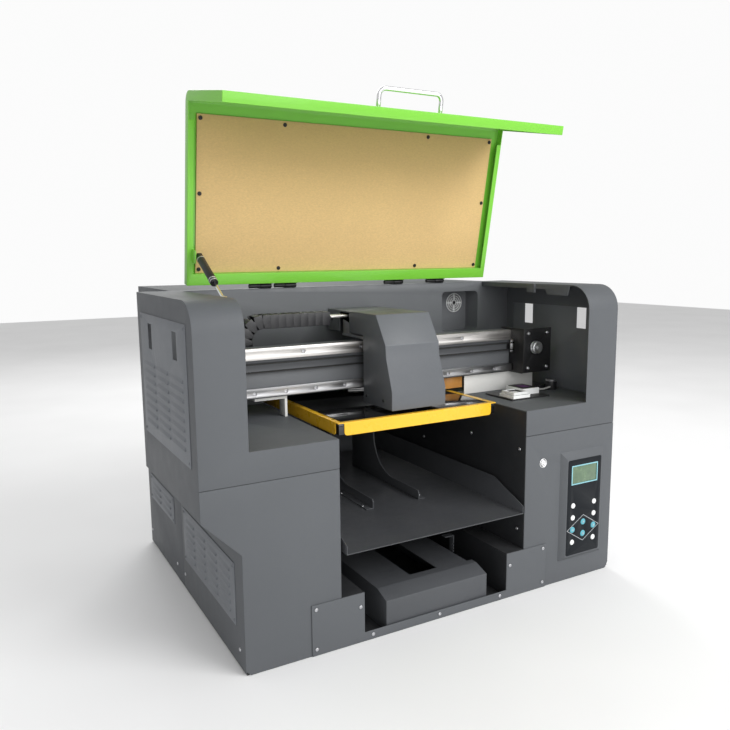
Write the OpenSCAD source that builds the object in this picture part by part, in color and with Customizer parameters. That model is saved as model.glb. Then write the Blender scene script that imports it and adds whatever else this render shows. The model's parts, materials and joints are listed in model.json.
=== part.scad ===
// Flatbed UV printer with a lift-up lid, a cross beam with a sliding print carriage,
// and a media bed that slides forward and drops.
// Millimetres, +Z up, +X to the operator's right. The origin is on the floor, under the
// middle of the cabinet. Depths in the modules are counted from the front face, and
// from_front() moves them into the model's frame.

/* [Cabinet] */
// Width over the two front towers
cabinet_w = 860; // [780:10:1100]
// Depth from the front face to the back panel
cabinet_d = 632; // [600:4:800]
// Height of the tower tops
cabinet_h = 591; // [585:3:760]
// Sheet metal thickness
sheet_t = 2; // [1.5:0.1:3]
// Depth of the two front towers
tower_d = 353; // [345:1:380]
// Width of each front tower
tower_w = 232; // [200:1:250]
// Width of the closed strip at the outer side of each tower's front
strip_w = 79; // [60:1:95]
// How far the lower side and the rear body stand in from the towers' sides
side_inset = 62; // [40:1:70]
// Height of the shelf inside each tower
shelf_h = 361; // [350:1:380]
// Height of the seam between the lower shells and the upper covers
seam_h = 312; // [290:1:330]
// Radius that rolls the tower fronts over into their tops
roll_r = 48; // [30:1:60]

/* [Lid] */
// Length of the lid from its hinge line to its front wall
lid_len = 346; // [330:1:352]
// Depth of the lid's front wall
lid_front_h = 199; // [150:1:205]
// Depth of the lid's side flanges
lid_flange = 17; // [12:1:20]
// Angle between the open and the closed lid
lid_open = 79; // [60:1:80]
// Side gap between the lid and the tower strips
lid_gap = 6; // [3:0.5:10]
// Width between the legs of the lid handle
handle_w = 128; // [90:1:180]

/* [Beam and carriage] */
// Distance of the rail's face from the front face
rail_y = 185; // [180:1:190]
// Height of the rail's centre line
rail_z = 411.5; // [408:0.5:416]
// Spacing of the rail's screws
rail_pitch = 60; // [40:5:80]
// Width of the carriage cover
carriage_w = 116; // [100:1:140]
// Height of the carriage cover's lower edge
carriage_z = 378; // [375:0.5:384]
// Radius of the belt pulleys
pulley_r = 6.5; // [5:0.5:6.5]

/* [Table] */
// Width of the media bed
bed_w = 341; // [300:1:360]
// Length of the media bed
bed_l = 460; // [380:1:480]
// Height of the bed's surface
bed_z = 371.5; // [366:0.5:373]
// Distance of the bed's front edge from the front face
bed_y = 57; // [50:1:62]
// Height of the deck's upper surface
deck_z = 165; // [160:1:175]
// Height of the deck's side walls
deck_wall = 50; // [20:1:60]
// Side gap between the deck and the tower liners
deck_gap = 8; // [5:0.5:14]
// Distance that the table drops
lift_drop = 60; // [30:1:60]

/* [Keypad] */
// Width of the raised keypad at its foot
keypad_w = 116; // [112:1:124]
// Height of the raised keypad at its foot
keypad_h = 224; // [218:1:230]
// Height of the keypad's face over the front
keypad_rise = 9; // [7:0.5:12]
// Radius of the round keys
key_r = 5.4; // [4:0.1:6]

/* [Hidden] */
$fn = 48;
half_w = cabinet_w / 2;
gap_half = half_w - tower_w;
open_half = half_w - strip_w;
body_half = half_w - side_inset;
lid_half = open_half - lid_gap;
side_low = 262;
step_low = side_low - side_inset;
pan_t = 3;
seam_gap = 0.8;
top_z = cabinet_h - sheet_t;
// interior back wall and its fan box
wall_y = 333;
fan_box_w = 101;
fan_box_h = 92;
fan_box_x = half_w - 192;
fan_box_z = cabinet_h - 113;
fan_box_d = 46;
fan_x = fan_box_x + 66;
fan_z = fan_box_z + 63;
fan_r = 21;
fan_axle_r = 2;
// lid hinge line and lid plate, which lies above the hinge line when closed
hinge_y = wall_y - 2;
hinge_z = cabinet_h + 5;
hinge_r = 4;
pin_r = 2;
run_gap = 0.08;
plate_up = 7;
lid_t = 1.5;
lid_fold_r = 20;
bar_w = 21;
bar_start = 6.5;
return_w = 11;
hinge_leaf_w = 46;
hinge_xs = [-open_half + 130, -open_half + 183, open_half - 266, open_half - 158];
// gas strut: its upper ball on the lid (closed position) and its lower ball
strut_x = -lid_half + 19;
ball_s = 63;
ball_drop = 21;
strut_low_y = 165;
strut_low_z = cabinet_h - 10;
strut_r = 7;
rod_r = 3;
eye_r = 6.5;
eye_t = 8;
stud_r = 3;
ball_y = hinge_y - ball_s * cos(lid_open) - ball_drop * sin(lid_open);
ball_z = hinge_z + ball_s * sin(lid_open) - ball_drop * cos(lid_open);
strut_dy = ball_y - strut_low_y;
strut_dz = ball_z - strut_low_z;
strut_len = sqrt(strut_dy * strut_dy + strut_dz * strut_dz);
strut_angle = atan2(strut_dz, strut_dy);
rod_show = 57;
rod_end = strut_len - 67;
// beam
rail_h = 15;
rail_d = 12;
beam_y = rail_y + rail_d;
beam_d = 27;
beam_low = rail_z - rail_h / 2 - 4;
beam_top = rail_z + 80;
beam_left = -half_w + 70;
beam_right = half_w - 110;
bar_d = 6;
bar_h = 21;
slot_h = 18;
belt_z = rail_z + 44.5;
belt_t = 1.4;
belt_w = 8;
belt_y = beam_y - belt_w - 1;
belt_gap = 0.3;
drive_x = half_w - 80;
idler_x = -half_w + 46;
plate_y = 150;
plate_t = 6;
// carriage
car_half = carriage_w / 2;
car_wall = 2;
car_back = 318;
car_front = bed_y + 9;
car_plate_y = rail_y - 13;
// cable chain behind the beam
chain_y = beam_y + beam_d + 4;
chain_w = 34;
chain_t = 26;
chain_top = beam_top + 56;
chain_bend_r = 22;
chain_bend_x = -232;
chain_end_x = -car_half - 38;
link_pitch = 15;
// drive housing and table
nose_half = 110;
nose_top = 70;
nose_front_h = 59;
nose_fold_y = 34;
hood_l = 48;
hood_out = 12;
slot_half = 30;
nose_end = cabinet_d - 32;
col_half = 28;
col_y = 395;
col_l = 100;
col_wall = 7;
col_top = deck_z - lift_drop - sheet_t - 5;
col_fit = 0.5;
deck_half = gap_half - deck_gap;
deck_front = -6;
deck_back = cabinet_d - 72;
deck_t = 1.5;
rib_t = 3;
rib_xs = [-44, 62];
rib_y = 160;
rib_arm = 19;
rib_curve = 80;
rib_post_y = 341;
rib_end = min(rib_post_y + 100, bed_y + bed_l - 20);
core_h = 20;
rim_t = 1.5;
rim_w = 10;
flange_h = 23;
// skirt
skirt_half = 254;
skirt_h = 89;
notch_half = 155;
notch_z = 16;
box_l = 330;
// keypad
key_x = half_w - 85;
keypad_z = 43.5;
face_half = 46.5;
face_low = 52.7;
face_high = 252.7;
face_rim = 1.5;
pad_half = face_half - face_rim;
pad_low = face_low + face_rim;
pad_high = face_high - face_rim;
face_y = 0.5 - keypad_rise;
key_dx = 28.7;
key_rows = [157.1, 132.2, 81.2];
arrow_z = 107;
arrow_dz = 12.2;
arrow_places = [[0, arrow_dz], [key_dx, 0], [-key_dx, 0], [0, -arrow_dz]];
screen_w = 66;
screen_h = 35;
screen_z = 202.2;
button_x = half_w - 188;
button_z = 254;
button_r = 6.5;
// right-hand shelf equipment
cap_x = half_w - 165;
cap_y = 112;
cap_half = 19;
cap_gap = 0.5;
pump_x = half_w - 124;
pump_y = 140;
motor_x = half_w - 33;
motor_y = 146;
inlet_x = 250;
inlet_z = 60;

// ---------------------------------------------------------------- helpers

// Moves a shape whose depths are counted from the front face into the model's frame
module from_front() translate([0, -cabinet_d / 2, 0]) children();

// A block from one corner to the other
module span(x0, x1, y0, y1, z0, z1) {
    translate([x0, y0, z0]) cube([x1 - x0, y1 - y0, z1 - z0]);
}

// Extrudes a side view, drawn as [depth, height], across the width from x0 to x1
module across(x0, x1) {
    translate([x0, 0, 0]) rotate([90, 0, 90]) linear_extrude(x1 - x0) children();
}

// Extrudes a front view, drawn as [x, height], from depth y0 to y1
module back(y0, y1) {
    translate([0, y1, 0]) rotate([90, 0, 0]) linear_extrude(y1 - y0) children();
}

module pin_x(x0, x1, y, z, r) {
    translate([x0, y, z]) rotate([0, 90, 0]) cylinder(h = x1 - x0, r = r);
}

module pin_y(x, y0, y1, z, r) {
    translate([x, y0, z]) rotate([-90, 0, 0]) cylinder(h = y1 - y0, r = r);
}

module box2d(x0, x1, z0, z1) translate([x0, z0]) square([x1 - x0, z1 - z0]);

// A rectangle with round corners, drawn from its own corners
module round_box2d(x0, x1, z0, z1, r) {
    box2d(x0 + r, x1 - r, z0, z1);
    box2d(x0, x1, z0 + r, z1 - r);
    for (x = [x0 + r, x1 - r]) for (z = [z0 + r, z1 - r]) translate([x, z]) circle(r);
}

function arc(cx, cy, r, a0, a1, n = 12) =
    [for (i = [0 : n]) let (a = a0 + (a1 - a0) * i / n) [cx + r * cos(a), cy + r * sin(a)]];

// ---------------------------------------------------------------- cabinet

module base_pan() color("dimgray") from_front() {
    w = body_half - sheet_t;
    linear_extrude(pan_t) {
        translate([-w, sheet_t]) square([2 * w, cabinet_d - 2 * sheet_t]);
        translate([-w, sheet_t]) square([w + half_w - sheet_t, tower_d - sheet_t]);
    }
}

// Front plate with the stepped edge, the sloping step and the lower side wall
module left_lower_shell() color("slategray") from_front() {
    top = seam_h - seam_gap;
    back(0, sheet_t) polygon([[-gap_half, 0], [-gap_half, top], [-half_w, top],
        [-half_w, side_low], [-body_half, step_low], [-body_half, 8], [-body_half + 8, 0]]);
    back(sheet_t, tower_d) polygon([[-body_half, pan_t], [-body_half, step_low],
        [-half_w + 3, side_low - 3], [-half_w + 3, side_low],
        [-body_half + sheet_t, step_low + 1], [-body_half + sheet_t, pan_t]]);
}

module right_lower_shell() color("slategray") from_front() {
    top = seam_h - seam_gap;
    back(0, sheet_t) difference() {
        polygon([[gap_half, 0], [gap_half, top], [half_w, top], [half_w, 12],
            [half_w - 8, 0]]);
        box2d(key_x - pad_half + 4, key_x + pad_half - 4, pad_low + 4, pad_high - 4);
        translate([button_x, button_z]) circle(button_r + 1.2);
    }
    span(half_w - sheet_t, half_w, sheet_t, tower_d, pan_t, top);
    span(body_half, half_w - sheet_t, tower_d - sheet_t, tower_d, pan_t, top);
}

// Side view of an upper cover's side wall, with its rolled front corner
module cover_side(low) {
    polygon(concat([[tower_d, low], [tower_d, cabinet_h]],
        arc(roll_r, cabinet_h - roll_r, roll_r, 90, 180),
        [[0, seam_h], [sheet_t, seam_h], [sheet_t, low]]));
}

// Side view of the sheet that runs up the front, over the roll and along the top
module cover_roll() {
    r = roll_r - sheet_t;
    polygon(concat([[tower_d, top_z], [tower_d, cabinet_h]],
        arc(roll_r, cabinet_h - roll_r, roll_r, 90, 180), [[0, seam_h], [sheet_t, seam_h]],
        arc(roll_r, cabinet_h - roll_r, r, 180, 90)));
}

// One upper cover, drawn for the left-hand tower
module upper_cover(low) {
    vent_y = 46;
    difference() {
        across(-half_w, -half_w + sheet_t) cover_side(low);
        span(-half_w - 1, -half_w + sheet_t + 1, vent_y, tower_d - 41, 353, 541);
    }
    across(-half_w + sheet_t, -open_half) cover_roll();
    back(0, sheet_t) box2d(-open_half, -gap_half, seam_h, shelf_h);
    span(-half_w + sheet_t, -gap_half, sheet_t, tower_d, shelf_h - sheet_t, shelf_h);
    span(-half_w + sheet_t, -body_half, tower_d - sheet_t, tower_d, low, top_z);
    across(-open_half - sheet_t, -open_half) polygon([[roll_r + 6, top_z],
        [roll_r + 12, top_z - 20], [roll_r + 70, top_z - 20], [roll_r + 76, top_z - 9],
        [wall_y, top_z - 9], [wall_y, top_z]]);
    span(-open_half, -open_half + 3, strut_low_y - 12, strut_low_y + 12,
        strut_low_z - 9, cabinet_h);
    span(-open_half - sheet_t, -open_half, strut_low_y - 12, strut_low_y + 12,
        strut_low_z - 9, top_z - 9);
    pin_x(-open_half + 3, strut_x + eye_t / 2, strut_low_y, strut_low_z, stud_r);
}

module left_upper_cover() color("slategray") from_front() upper_cover(side_low);

module right_upper_cover() color("slategray") from_front() mirror([1, 0, 0]) difference() {
    upper_cover(seam_h);
    span(-open_half + 3, strut_x + eye_t, strut_low_y - 9, strut_low_y + 9,
        strut_low_z - 6, strut_low_z + 5);
}

// Rear half of the cabinet: two side walls and a top, closed by the rear panel
module rear_body() color("slategray") from_front() {
    y1 = cabinet_d - sheet_t;
    difference() {
        back(tower_d, y1) difference() {
            box2d(-body_half, body_half, pan_t, cabinet_h);
            box2d(-body_half + sheet_t, body_half - sheet_t, pan_t - 1, top_z);
        }
        span(-body_half - 1, -body_half + 3, tower_d + 66, cabinet_d - 37, 126, 162);
    }
    w = body_half - gap_half - 2 * sheet_t;
    span(-body_half + sheet_t, -body_half + sheet_t + w, tower_d, tower_d + sheet_t,
        pan_t, top_z);
    difference() {
        span(gap_half + sheet_t, gap_half + sheet_t + w, tower_d, tower_d + sheet_t,
            pan_t, top_z);
        span(fan_box_x - 4, fan_box_x + fan_box_w + 4, tower_d - 1, tower_d + 3,
            fan_box_z - 4, fan_box_z + fan_box_h + 4);
    }
}

module rear_panel() color("slategray") from_front() {
    y0 = cabinet_d - sheet_t;
    difference() {
        span(-body_half, body_half, y0, cabinet_d, pan_t, cabinet_h);
        for (x = [-210, 210]) for (i = [0 : 7])
            span(x - 60, x + 60, y0 - 1, cabinet_d + 1, 330 + 14 * i, 335 + 14 * i);
        span(inlet_x - 14, inlet_x + 14, y0 - 1, cabinet_d + 1, inlet_z - 12, inlet_z + 12);
    }
    difference() {
        span(inlet_x - 13.8, inlet_x + 13.8, y0 - 18, cabinet_d, inlet_z - 11.8,
            inlet_z + 11.8);
        span(inlet_x - 11, inlet_x + 11, y0 - 14, cabinet_d + 1, inlet_z - 9, inlet_z + 9);
    }
    for (x = [-6, 0, 6])
        span(inlet_x + x - 1, inlet_x + x + 1, y0 - 14, cabinet_d - 4, inlet_z - 3,
            inlet_z + 3);
}

// Grey wall behind the beam, rolled back to the rear body at its top
module interior_back_wall() color("gray") from_front() {
    w = half_w - sheet_t;
    x0 = fan_box_x;
    z0 = fan_box_z;
    back(wall_y, wall_y + sheet_t) difference() {
        polygon([[-w, shelf_h], [-w, top_z], [w, top_z], [w, shelf_h],
            [gap_half, shelf_h], [gap_half, bed_z + 22], [-gap_half, bed_z + 22],
            [-gap_half, shelf_h]]);
        round_box2d(x0, x0 + fan_box_w, z0, z0 + fan_box_h, 10);
    }
    span(-open_half, open_half, wall_y, tower_d, top_z, cabinet_h);
}

// Dark sheets that line the inner sides of the towers
module tower_liners() color("black") from_front() for (s = [-1, 1]) {
    x = s > 0 ? gap_half : -gap_half - sheet_t;
    span(x, x + sheet_t, sheet_t, cabinet_d - 2 * sheet_t, pan_t, shelf_h - sheet_t);
}

// A vent plate seen from outside, [y, z] from its low front corner, louvres proud of it
module vent_plate(w, h, cols, rows, low, pitch) {
    t = 1.2;
    cell = (w - 30) / cols;
    difference() {
        cube([t, w, h]);
        if (cols == 3) for (y = [w - 81, 52])
            translate([-1, y, h - 60]) cube([t + 2, 26, 44]);
    }
    for (c = [0 : cols - 1]) for (r = [0 : rows - 1])
        translate([0, 15 + c * cell + 8, low + r * pitch]) rotate([90, 0, 0])
            mirror([0, 0, 1]) linear_extrude(cell - 16)
                polygon([[0, 0], [-2.5, 0.5], [-2.5, 1.7], [0, 7]]);
}

module side_vents() color("lightslategray") from_front() {
    for (s = [0, 1]) mirror([s, 0, 0]) translate([-half_w - 1.2, 32, 338])
        vent_plate(tower_d - 58, 218, 3, 8, 22, 15);
    translate([-body_half - 1.2, 38, 68]) vent_plate(tower_d - 54, 106, 4, 6, 14, 14);
    translate([-body_half - 1.2, tower_d + 54, 116])
        vent_plate(cabinet_d - tower_d - 81, 56, 2, 3, 10, 14);
}

// U-shaped plate across the foot of the front
module front_skirt() color("slategray") from_front() back(-sheet_t, 0)
    polygon([[-skirt_half, 0], [-skirt_half, skirt_h], [-notch_half, skirt_h],
        [-notch_half, notch_z], [notch_half, notch_z], [notch_half, skirt_h],
        [skirt_half, skirt_h], [skirt_half, 0]]);

// Two covers that box in the sides behind the skirt
module rail_boxes() color("dimgray") from_front() for (s = [-1, 1]) {
    inner = s * notch_half;
    outer = s * gap_half;
    span(min(inner, outer), max(inner, outer), 0, box_l, skirt_h - sheet_t, skirt_h);
    span(min(inner, inner + s * sheet_t), max(inner, inner + s * sheet_t), 0, box_l,
        pan_t, skirt_h - sheet_t);
    span(min(inner, outer) + (s > 0 ? sheet_t : 0), max(inner, outer) - (s > 0 ? 0 : sheet_t),
        0, sheet_t, pan_t, skirt_h - sheet_t);
}

module head_y(x, y, z, r = 3.4) pin_y(x, y - 1.6, y, z, r);

module cabinet_screws() color("silver") from_front() {
    for (s = [-1, 1]) {
        for (z = [11.4, 81]) head_y(s * (skirt_half - 8), -sheet_t, z);
        head_y(s * (notch_half + 8), -sheet_t, 64.5);
        head_y(s * (notch_half - 16), -sheet_t, 9);
    }
    head_y(0, -sheet_t, 9);
    for (y = [25, tower_d - 10, tower_d + 48, cabinet_d - 14])
        pin_x(-body_half - 1.6, -body_half, y, 34, 3.4);
    for (s = [-1, 1]) for (p = [[18, 284], [168, 284], [345, 238], [21, 124]])
        pin_x(s > 0 ? gap_half - 1.6 : -gap_half, s > 0 ? gap_half : -gap_half + 1.6,
            p[0], p[1], 3);
}

// Fixed housing of the table's drive, with the slot that its lift column runs in
module drive_housing() color("slategray") from_front() {
    side = nose_half - hood_out;
    difference() {
        union() {
            across(-nose_half, nose_half) polygon([[2, pan_t], [2, nose_front_h],
                [nose_fold_y, nose_top], [hood_l, nose_top], [hood_l, pan_t]]);
            across(-nose_half, side) box2d(hood_l, nose_end, pan_t, nose_top);
        }
        across(-nose_half + 3, nose_half - 3) polygon([[5, pan_t - 1],
            [5, nose_front_h - 3], [nose_fold_y, nose_top - 3], [hood_l - 3, nose_top - 3],
            [hood_l - 3, pan_t - 1]]);
        across(-nose_half + 3, side - 3) box2d(hood_l - 4, nose_end - 3, pan_t - 1, nose_top - 3);
        span(-slot_half, slot_half, 52, nose_end - 8, nose_top - 4, nose_top + 1);
    }
    // notched bracket beside the housing, with a foot and a top arm
    span(side, nose_half + 2, 108, 122, 45, 48);
    difference() {
        span(nose_half, nose_half + 2, 108, 122, 48, 96);
        for (z = [54 : 6 : 78]) span(nose_half - 1, nose_half + 3, 107, 111, z, z + 2);
    }
    span(nose_half - 20, nose_half + 2, 108, 122, 96, 98);
}

// ---------------------------------------------------------------- cooling fan

module fan_box() color("black") from_front() {
    x0 = fan_box_x;
    z0 = fan_box_z;
    y0 = wall_y + sheet_t;
    difference() {
        back(y0, y0 + fan_box_d)
            round_box2d(x0 - 2, x0 + fan_box_w + 2, z0 - 2, z0 + fan_box_h + 2, 11);
        back(y0 - 1, y0 + fan_box_d - 2)
            round_box2d(x0, x0 + fan_box_w, z0, z0 + fan_box_h, 9);
        pin_y(fan_x, y0, y0 + fan_box_d + 1, fan_z, fan_r);
    }
    y1 = y0 + fan_box_d;
    difference() {
        span(fan_x - 25, fan_x + 25, y1, y1 + 15, fan_z - 25, fan_z + 25);
        pin_y(fan_x, y1 - 1, y1 + 13, fan_z, fan_r);
    }
    pin_y(fan_x, y1 + 1.5, y1 + 13, fan_z, fan_axle_r);
}

// Wire guard of concentric rings over the fan's mouth
module fan_grille() color("silver") from_front() {
    y1 = wall_y + sheet_t + fan_box_d - 2;
    for (r = [6, 11, 16, 21]) difference() {
        pin_y(fan_x, y1 - 2.2, y1, fan_z, r + 1);
        pin_y(fan_x, y1 - 3, y1 + 1, fan_z, r - 1);
    }
    for (a = [0, 90]) translate([fan_x, y1 - 2.2, fan_z]) rotate([0, a, 0])
        for (s = [-1, 1]) for (r = [7, 12, 17])
            translate([s * (r + 1.5) - 2, 0, -0.8]) cube([4, 2.2, 1.6]);
}

module fan_rotor() color("dimgray") from_front() {
    y1 = wall_y + sheet_t + fan_box_d;
    difference() {
        union() {
            pin_y(fan_x, y1 + 2, y1 + 11, fan_z, 8);
            for (a = [0 : 45 : 315]) translate([fan_x, 0, fan_z]) rotate([0, a, 0])
                translate([6, y1 + 3, -0.8]) cube([fan_r - 7.5, 7, 1.6]);
        }
        pin_y(fan_x, y1 + 1, y1 + 12, fan_z, fan_axle_r + run_gap);
    }
}

// ---------------------------------------------------------------- beam

module beam() color("gray") from_front() {
    y1 = beam_y + beam_d;
    slot_low = belt_z - slot_h / 2;
    across(beam_left, beam_right) difference() {
        translate([beam_y, beam_low]) square([beam_d, beam_top - beam_low]);
        translate([beam_y + 6, beam_low + 6]) square([beam_d - 12, 14]);
        translate([beam_y - 1, slot_low]) square([9, slot_h]);
    }
    // trough that the chain's lower run slides in
    low = chain_top - 2 * chain_t - 2 * chain_bend_r - 1;
    span(beam_left, gap_half - 20, y1, chain_y + chain_w + 2, low - 2, low);
    span(beam_left, gap_half - 20, chain_y + chain_w + 2, chain_y + chain_w + 4,
        low - 2, low + 18);
}

module beam_steel_bar() color("silver") from_front() {
    z0 = beam_top - bar_h;
    difference() {
        span(beam_left, beam_right, beam_y - bar_d, beam_y, z0, beam_top);
        for (x = [-open_half + 60 : 2 * rail_pitch : beam_right - 20])
            pin_y(x, beam_y - bar_d - 1, beam_y - bar_d + 3, z0 + bar_h / 2, 4);
    }
}

module linear_rail() color("silver") from_front() {
    z0 = rail_z - rail_h / 2;
    difference() {
        span(beam_left + 4, beam_right - 2, rail_y, beam_y, z0, z0 + rail_h);
        for (s = [-1, 1]) across(beam_left, beam_right)
            translate([rail_y + 5, rail_z + s * rail_h / 2]) circle(1.8, $fn = 16);
        for (x = [-270 - rail_pitch : rail_pitch : beam_right - 12]) {
            pin_y(x, rail_y - 1, beam_y + 1, rail_z, 2.25);
            pin_y(x, rail_y - 1, rail_y + 5, rail_z, 3.75);
        }
    }
}

// Left foot: a plate bent over a leg. Right foot: the polished plate under the beam
module beam_feet() color("gainsboro") from_front() {
    y0 = beam_y + 1;
    x0 = -half_w + 164;
    x1 = -gap_half - 10;
    span(x0, x1 + 5, y0, y0 + beam_d - 2, beam_low - 5, beam_low);
    span(x1, x1 + 5, y0, y0 + beam_d - 2, shelf_h, beam_low - 5);
    span(gap_half + 3, beam_right + 70, y0, y0 + 2, shelf_h, beam_low);
    span(gap_half + 3, beam_right + 6, y0 + 2, y0 + beam_d - 2, shelf_h, shelf_h + 2);
}

module amber_guard() color("saddlebrown") from_front()
    span(gap_half - 76, gap_half - 2, beam_y + 2, beam_y + 5, bed_z + 5, beam_low);

// Right-hand drive plate and left-hand idler plate, which close the beam's ends
module beam_brackets() color("black") from_front() {
    z0 = beam_low;
    difference() {
        span(drive_x - 30, drive_x + 46, plate_y, plate_y + plate_t, z0 + 2, z0 + 96);
        pin_y(drive_x, plate_y - 1, plate_y + plate_t + 1, belt_z, 4.2);
    }
    difference() {
        span(beam_right, beam_right + 5, plate_y + plate_t, beam_y + beam_d, z0, z0 + 96);
        span(beam_right - 1, beam_right + 6, belt_y - 6, belt_y + belt_w + 5,
            belt_z - 14, belt_z + 14);
    }
    span(idler_x - 12, beam_left, beam_y + beam_d, beam_y + beam_d + 3, belt_z - 12,
        belt_z + 12);
    span(beam_left - 4, beam_left, beam_y + 14, beam_y + beam_d, belt_z - 12, belt_z + 12);
    pin_y(idler_x, belt_y - 2, beam_y + beam_d, belt_z, pin_r);
}

module drive_pulley() color("silver") from_front() {
    pin_y(drive_x, plate_y - 12, plate_y - 8, belt_z, 13);
    pin_y(drive_x, plate_y - 8, plate_y - 5, belt_z, 10);
    pin_y(drive_x, plate_y - 5, plate_y - 1, belt_z, 14);
    pin_y(drive_x, plate_y - 1, belt_y - 1, belt_z, 4);
    pin_y(drive_x, belt_y - 1, belt_y + belt_w + 2, belt_z, pulley_r);
}

module idler_pulley() color("silver") from_front() difference() {
    pin_y(idler_x, belt_y - 1, belt_y + belt_w + 1, belt_z, pulley_r);
    pin_y(idler_x, belt_y - 2, belt_y + belt_w + 2, belt_z, pin_r + run_gap);
}

// Toothed belt, a closed loop round the two pulleys
module belt() color("black") from_front() {
    r0 = pulley_r + belt_gap;
    r1 = r0 + belt_t;
    difference() {
        union() {
            for (x = [idler_x, drive_x]) pin_y(x, belt_y, belt_y + belt_w, belt_z, r1);
            span(idler_x, drive_x, belt_y, belt_y + belt_w, belt_z - r1, belt_z + r1);
        }
        for (x = [idler_x, drive_x]) pin_y(x, belt_y - 1, belt_y + belt_w + 1, belt_z, r0);
        span(idler_x, drive_x, belt_y - 1, belt_y + belt_w + 1, belt_z - r0, belt_z + r0);
    }
}

module carriage_motor() color("black") from_front() {
    y0 = belt_y + belt_w + 4;
    span(drive_x - 21, drive_x + 21, y0, y0 + 40, belt_z - 21, belt_z + 21);
}

// ---------------------------------------------------------------- carriage

// Side view of the carriage cover, drawn in by d from every face
module carriage_side(d) {
    f = car_front + d;
    t = beam_top + 55 - d;
    polygon([[f, carriage_z - (d > 0 ? 1 : 0)], [f, carriage_z + 34],
        [f + 20, carriage_z + 92], [f + 22, carriage_z + 115], [f + 56 - d, t],
        [car_back - d, t], [car_back - d, beam_top + 13 - (d > 0 ? 1 : 0)],
        [car_plate_y - 2 + (d > 0 ? 1 : 0), beam_top + 13 - (d > 0 ? 1 : 0)],
        [car_plate_y - 2 + (d > 0 ? 1 : 0), carriage_z - (d > 0 ? 1 : 0)]]);
}

module carriage_cover() color("lightslategray") from_front() difference() {
    across(-car_half, car_half) carriage_side(0);
    across(-car_half + car_wall, car_half - car_wall) carriage_side(car_wall);
    // way for the chain under the back of the cover
    span(-car_half - 1, 0, chain_y - 3, chain_y + chain_w + 3, beam_top + 12, chain_top - 4);
}

// Machined plate with the rail's bearing block, the belt clamp and the chain's arm
module carriage_plate() color("silver") from_front() {
    w = car_half - car_wall - 2;
    z0 = rail_z - rail_h / 2;
    span(-w, w, car_plate_y - 1, car_plate_y + 4, carriage_z + 6, beam_top + 10);
    difference() {
        span(-30, 30, car_plate_y + 4, beam_y - 1.5, z0 - 8, z0 + rail_h + 8);
        across(-31, 31) translate([rail_y - 0.3, z0 - 0.3])
            square([rail_d + 1, rail_h + 0.6]);
    }
    span(-12, 12, car_plate_y + 4, belt_y + belt_w - 1, belt_z + pulley_r + belt_gap + belt_t + 0.3,
        belt_z + pulley_r + belt_gap + belt_t + 2.3 + 0.4);
    span(-w, w, car_plate_y + 4, chain_y + chain_w, beam_top + 5, beam_top + 10);
}

module print_head() color("darkslategray") from_front() {
    y0 = car_front + 16;
    span(-24, 34, y0 + 12, y0 + 66, carriage_z + 10, carriage_z + 62);
    span(-11, 21, y0 + 22, y0 + 56, carriage_z + 1, carriage_z + 10);
    for (i = [0 : 3]) span(-19 + 12.5 * i, -10 + 12.5 * i, y0 + 20, y0 + 58,
        carriage_z + 62, carriage_z + 78);
}

module uv_lamp() color("black") from_front() {
    y0 = car_front + 18;
    span(-54, -29, y0, y0 + 64, carriage_z + 4, carriage_z + 50);
    for (i = [0 : 7]) span(-53, -30, y0 + 3 + 7.5 * i, y0 + 6 + 7.5 * i, carriage_z + 50,
        carriage_z + 62);
}

// Cable chain: an upper run of links, its bend, and a short lower run in the trough
module cable_chain() color("darkslategray") from_front() {
    y0 = chain_y;
    y1 = chain_y + chain_w;
    zc = chain_top - chain_t - chain_bend_r;
    n = floor((chain_end_x - chain_bend_x) / link_pitch);
    back(y0, y1) difference() {
        intersection() {
            translate([chain_bend_x, zc]) circle(chain_bend_r + chain_t);
            box2d(chain_bend_x - 60, chain_bend_x, zc - 60, zc + 60);
        }
        translate([chain_bend_x, zc]) circle(chain_bend_r);
        for (a = [105 : 25 : 255])
            translate([chain_bend_x, zc]) rotate(a) translate([chain_bend_r + chain_t - 3, -1])
                square([4, 2]);
    }
    for (i = [0 : n - 1]) {
        x = chain_bend_x + i * link_pitch;
        span(x, x + link_pitch - 1.6, y0, y1, zc + chain_bend_r, chain_top);
        span(x + link_pitch - 1.6, x + link_pitch, y0 + 2, y1 - 2, zc + chain_bend_r + 3,
            chain_top - 3);
    }
    x1 = chain_bend_x + n * link_pitch;
    span(x1, -car_half + 10, y0 + 2, y1 - 2, chain_top - 12, chain_top - 8);
    span(-car_half + 5, -car_half + 10, y0 + 2, y1 - 2, beam_top + 10, chain_top - 12);
    span(chain_bend_x, chain_bend_x + 4 * link_pitch, y0, y1, zc - chain_bend_r - chain_t,
        zc - chain_bend_r);
}

// ---------------------------------------------------------------- capping station

// Tray with the cap's well, a pump block and the wiper's motor
module cap_base() color("dimgray") from_front() {
    z0 = shelf_h + 3;
    span(cap_x - 28, pump_x + 32, cap_y - 24, pump_y + 32, shelf_h, z0);
    difference() {
        span(cap_x - cap_half - 3, cap_x + cap_half + 3, cap_y - cap_half - 3,
            cap_y + cap_half + 3, z0, z0 + 6);
        span(cap_x - cap_half - cap_gap, cap_x + cap_half + cap_gap,
            cap_y - cap_half - cap_gap, cap_y + cap_half + cap_gap, z0 - 1, z0 + 7);
    }
    span(pump_x - 17, pump_x + 27, pump_y - 26, pump_y + 28, z0, z0 + 12);
    translate([motor_x, motor_y, shelf_h]) cylinder(h = 22, r = 12);
    span(motor_x - 18, motor_x + 8, motor_y + 16, motor_y + 30, shelf_h, shelf_h + 8);
}

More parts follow.
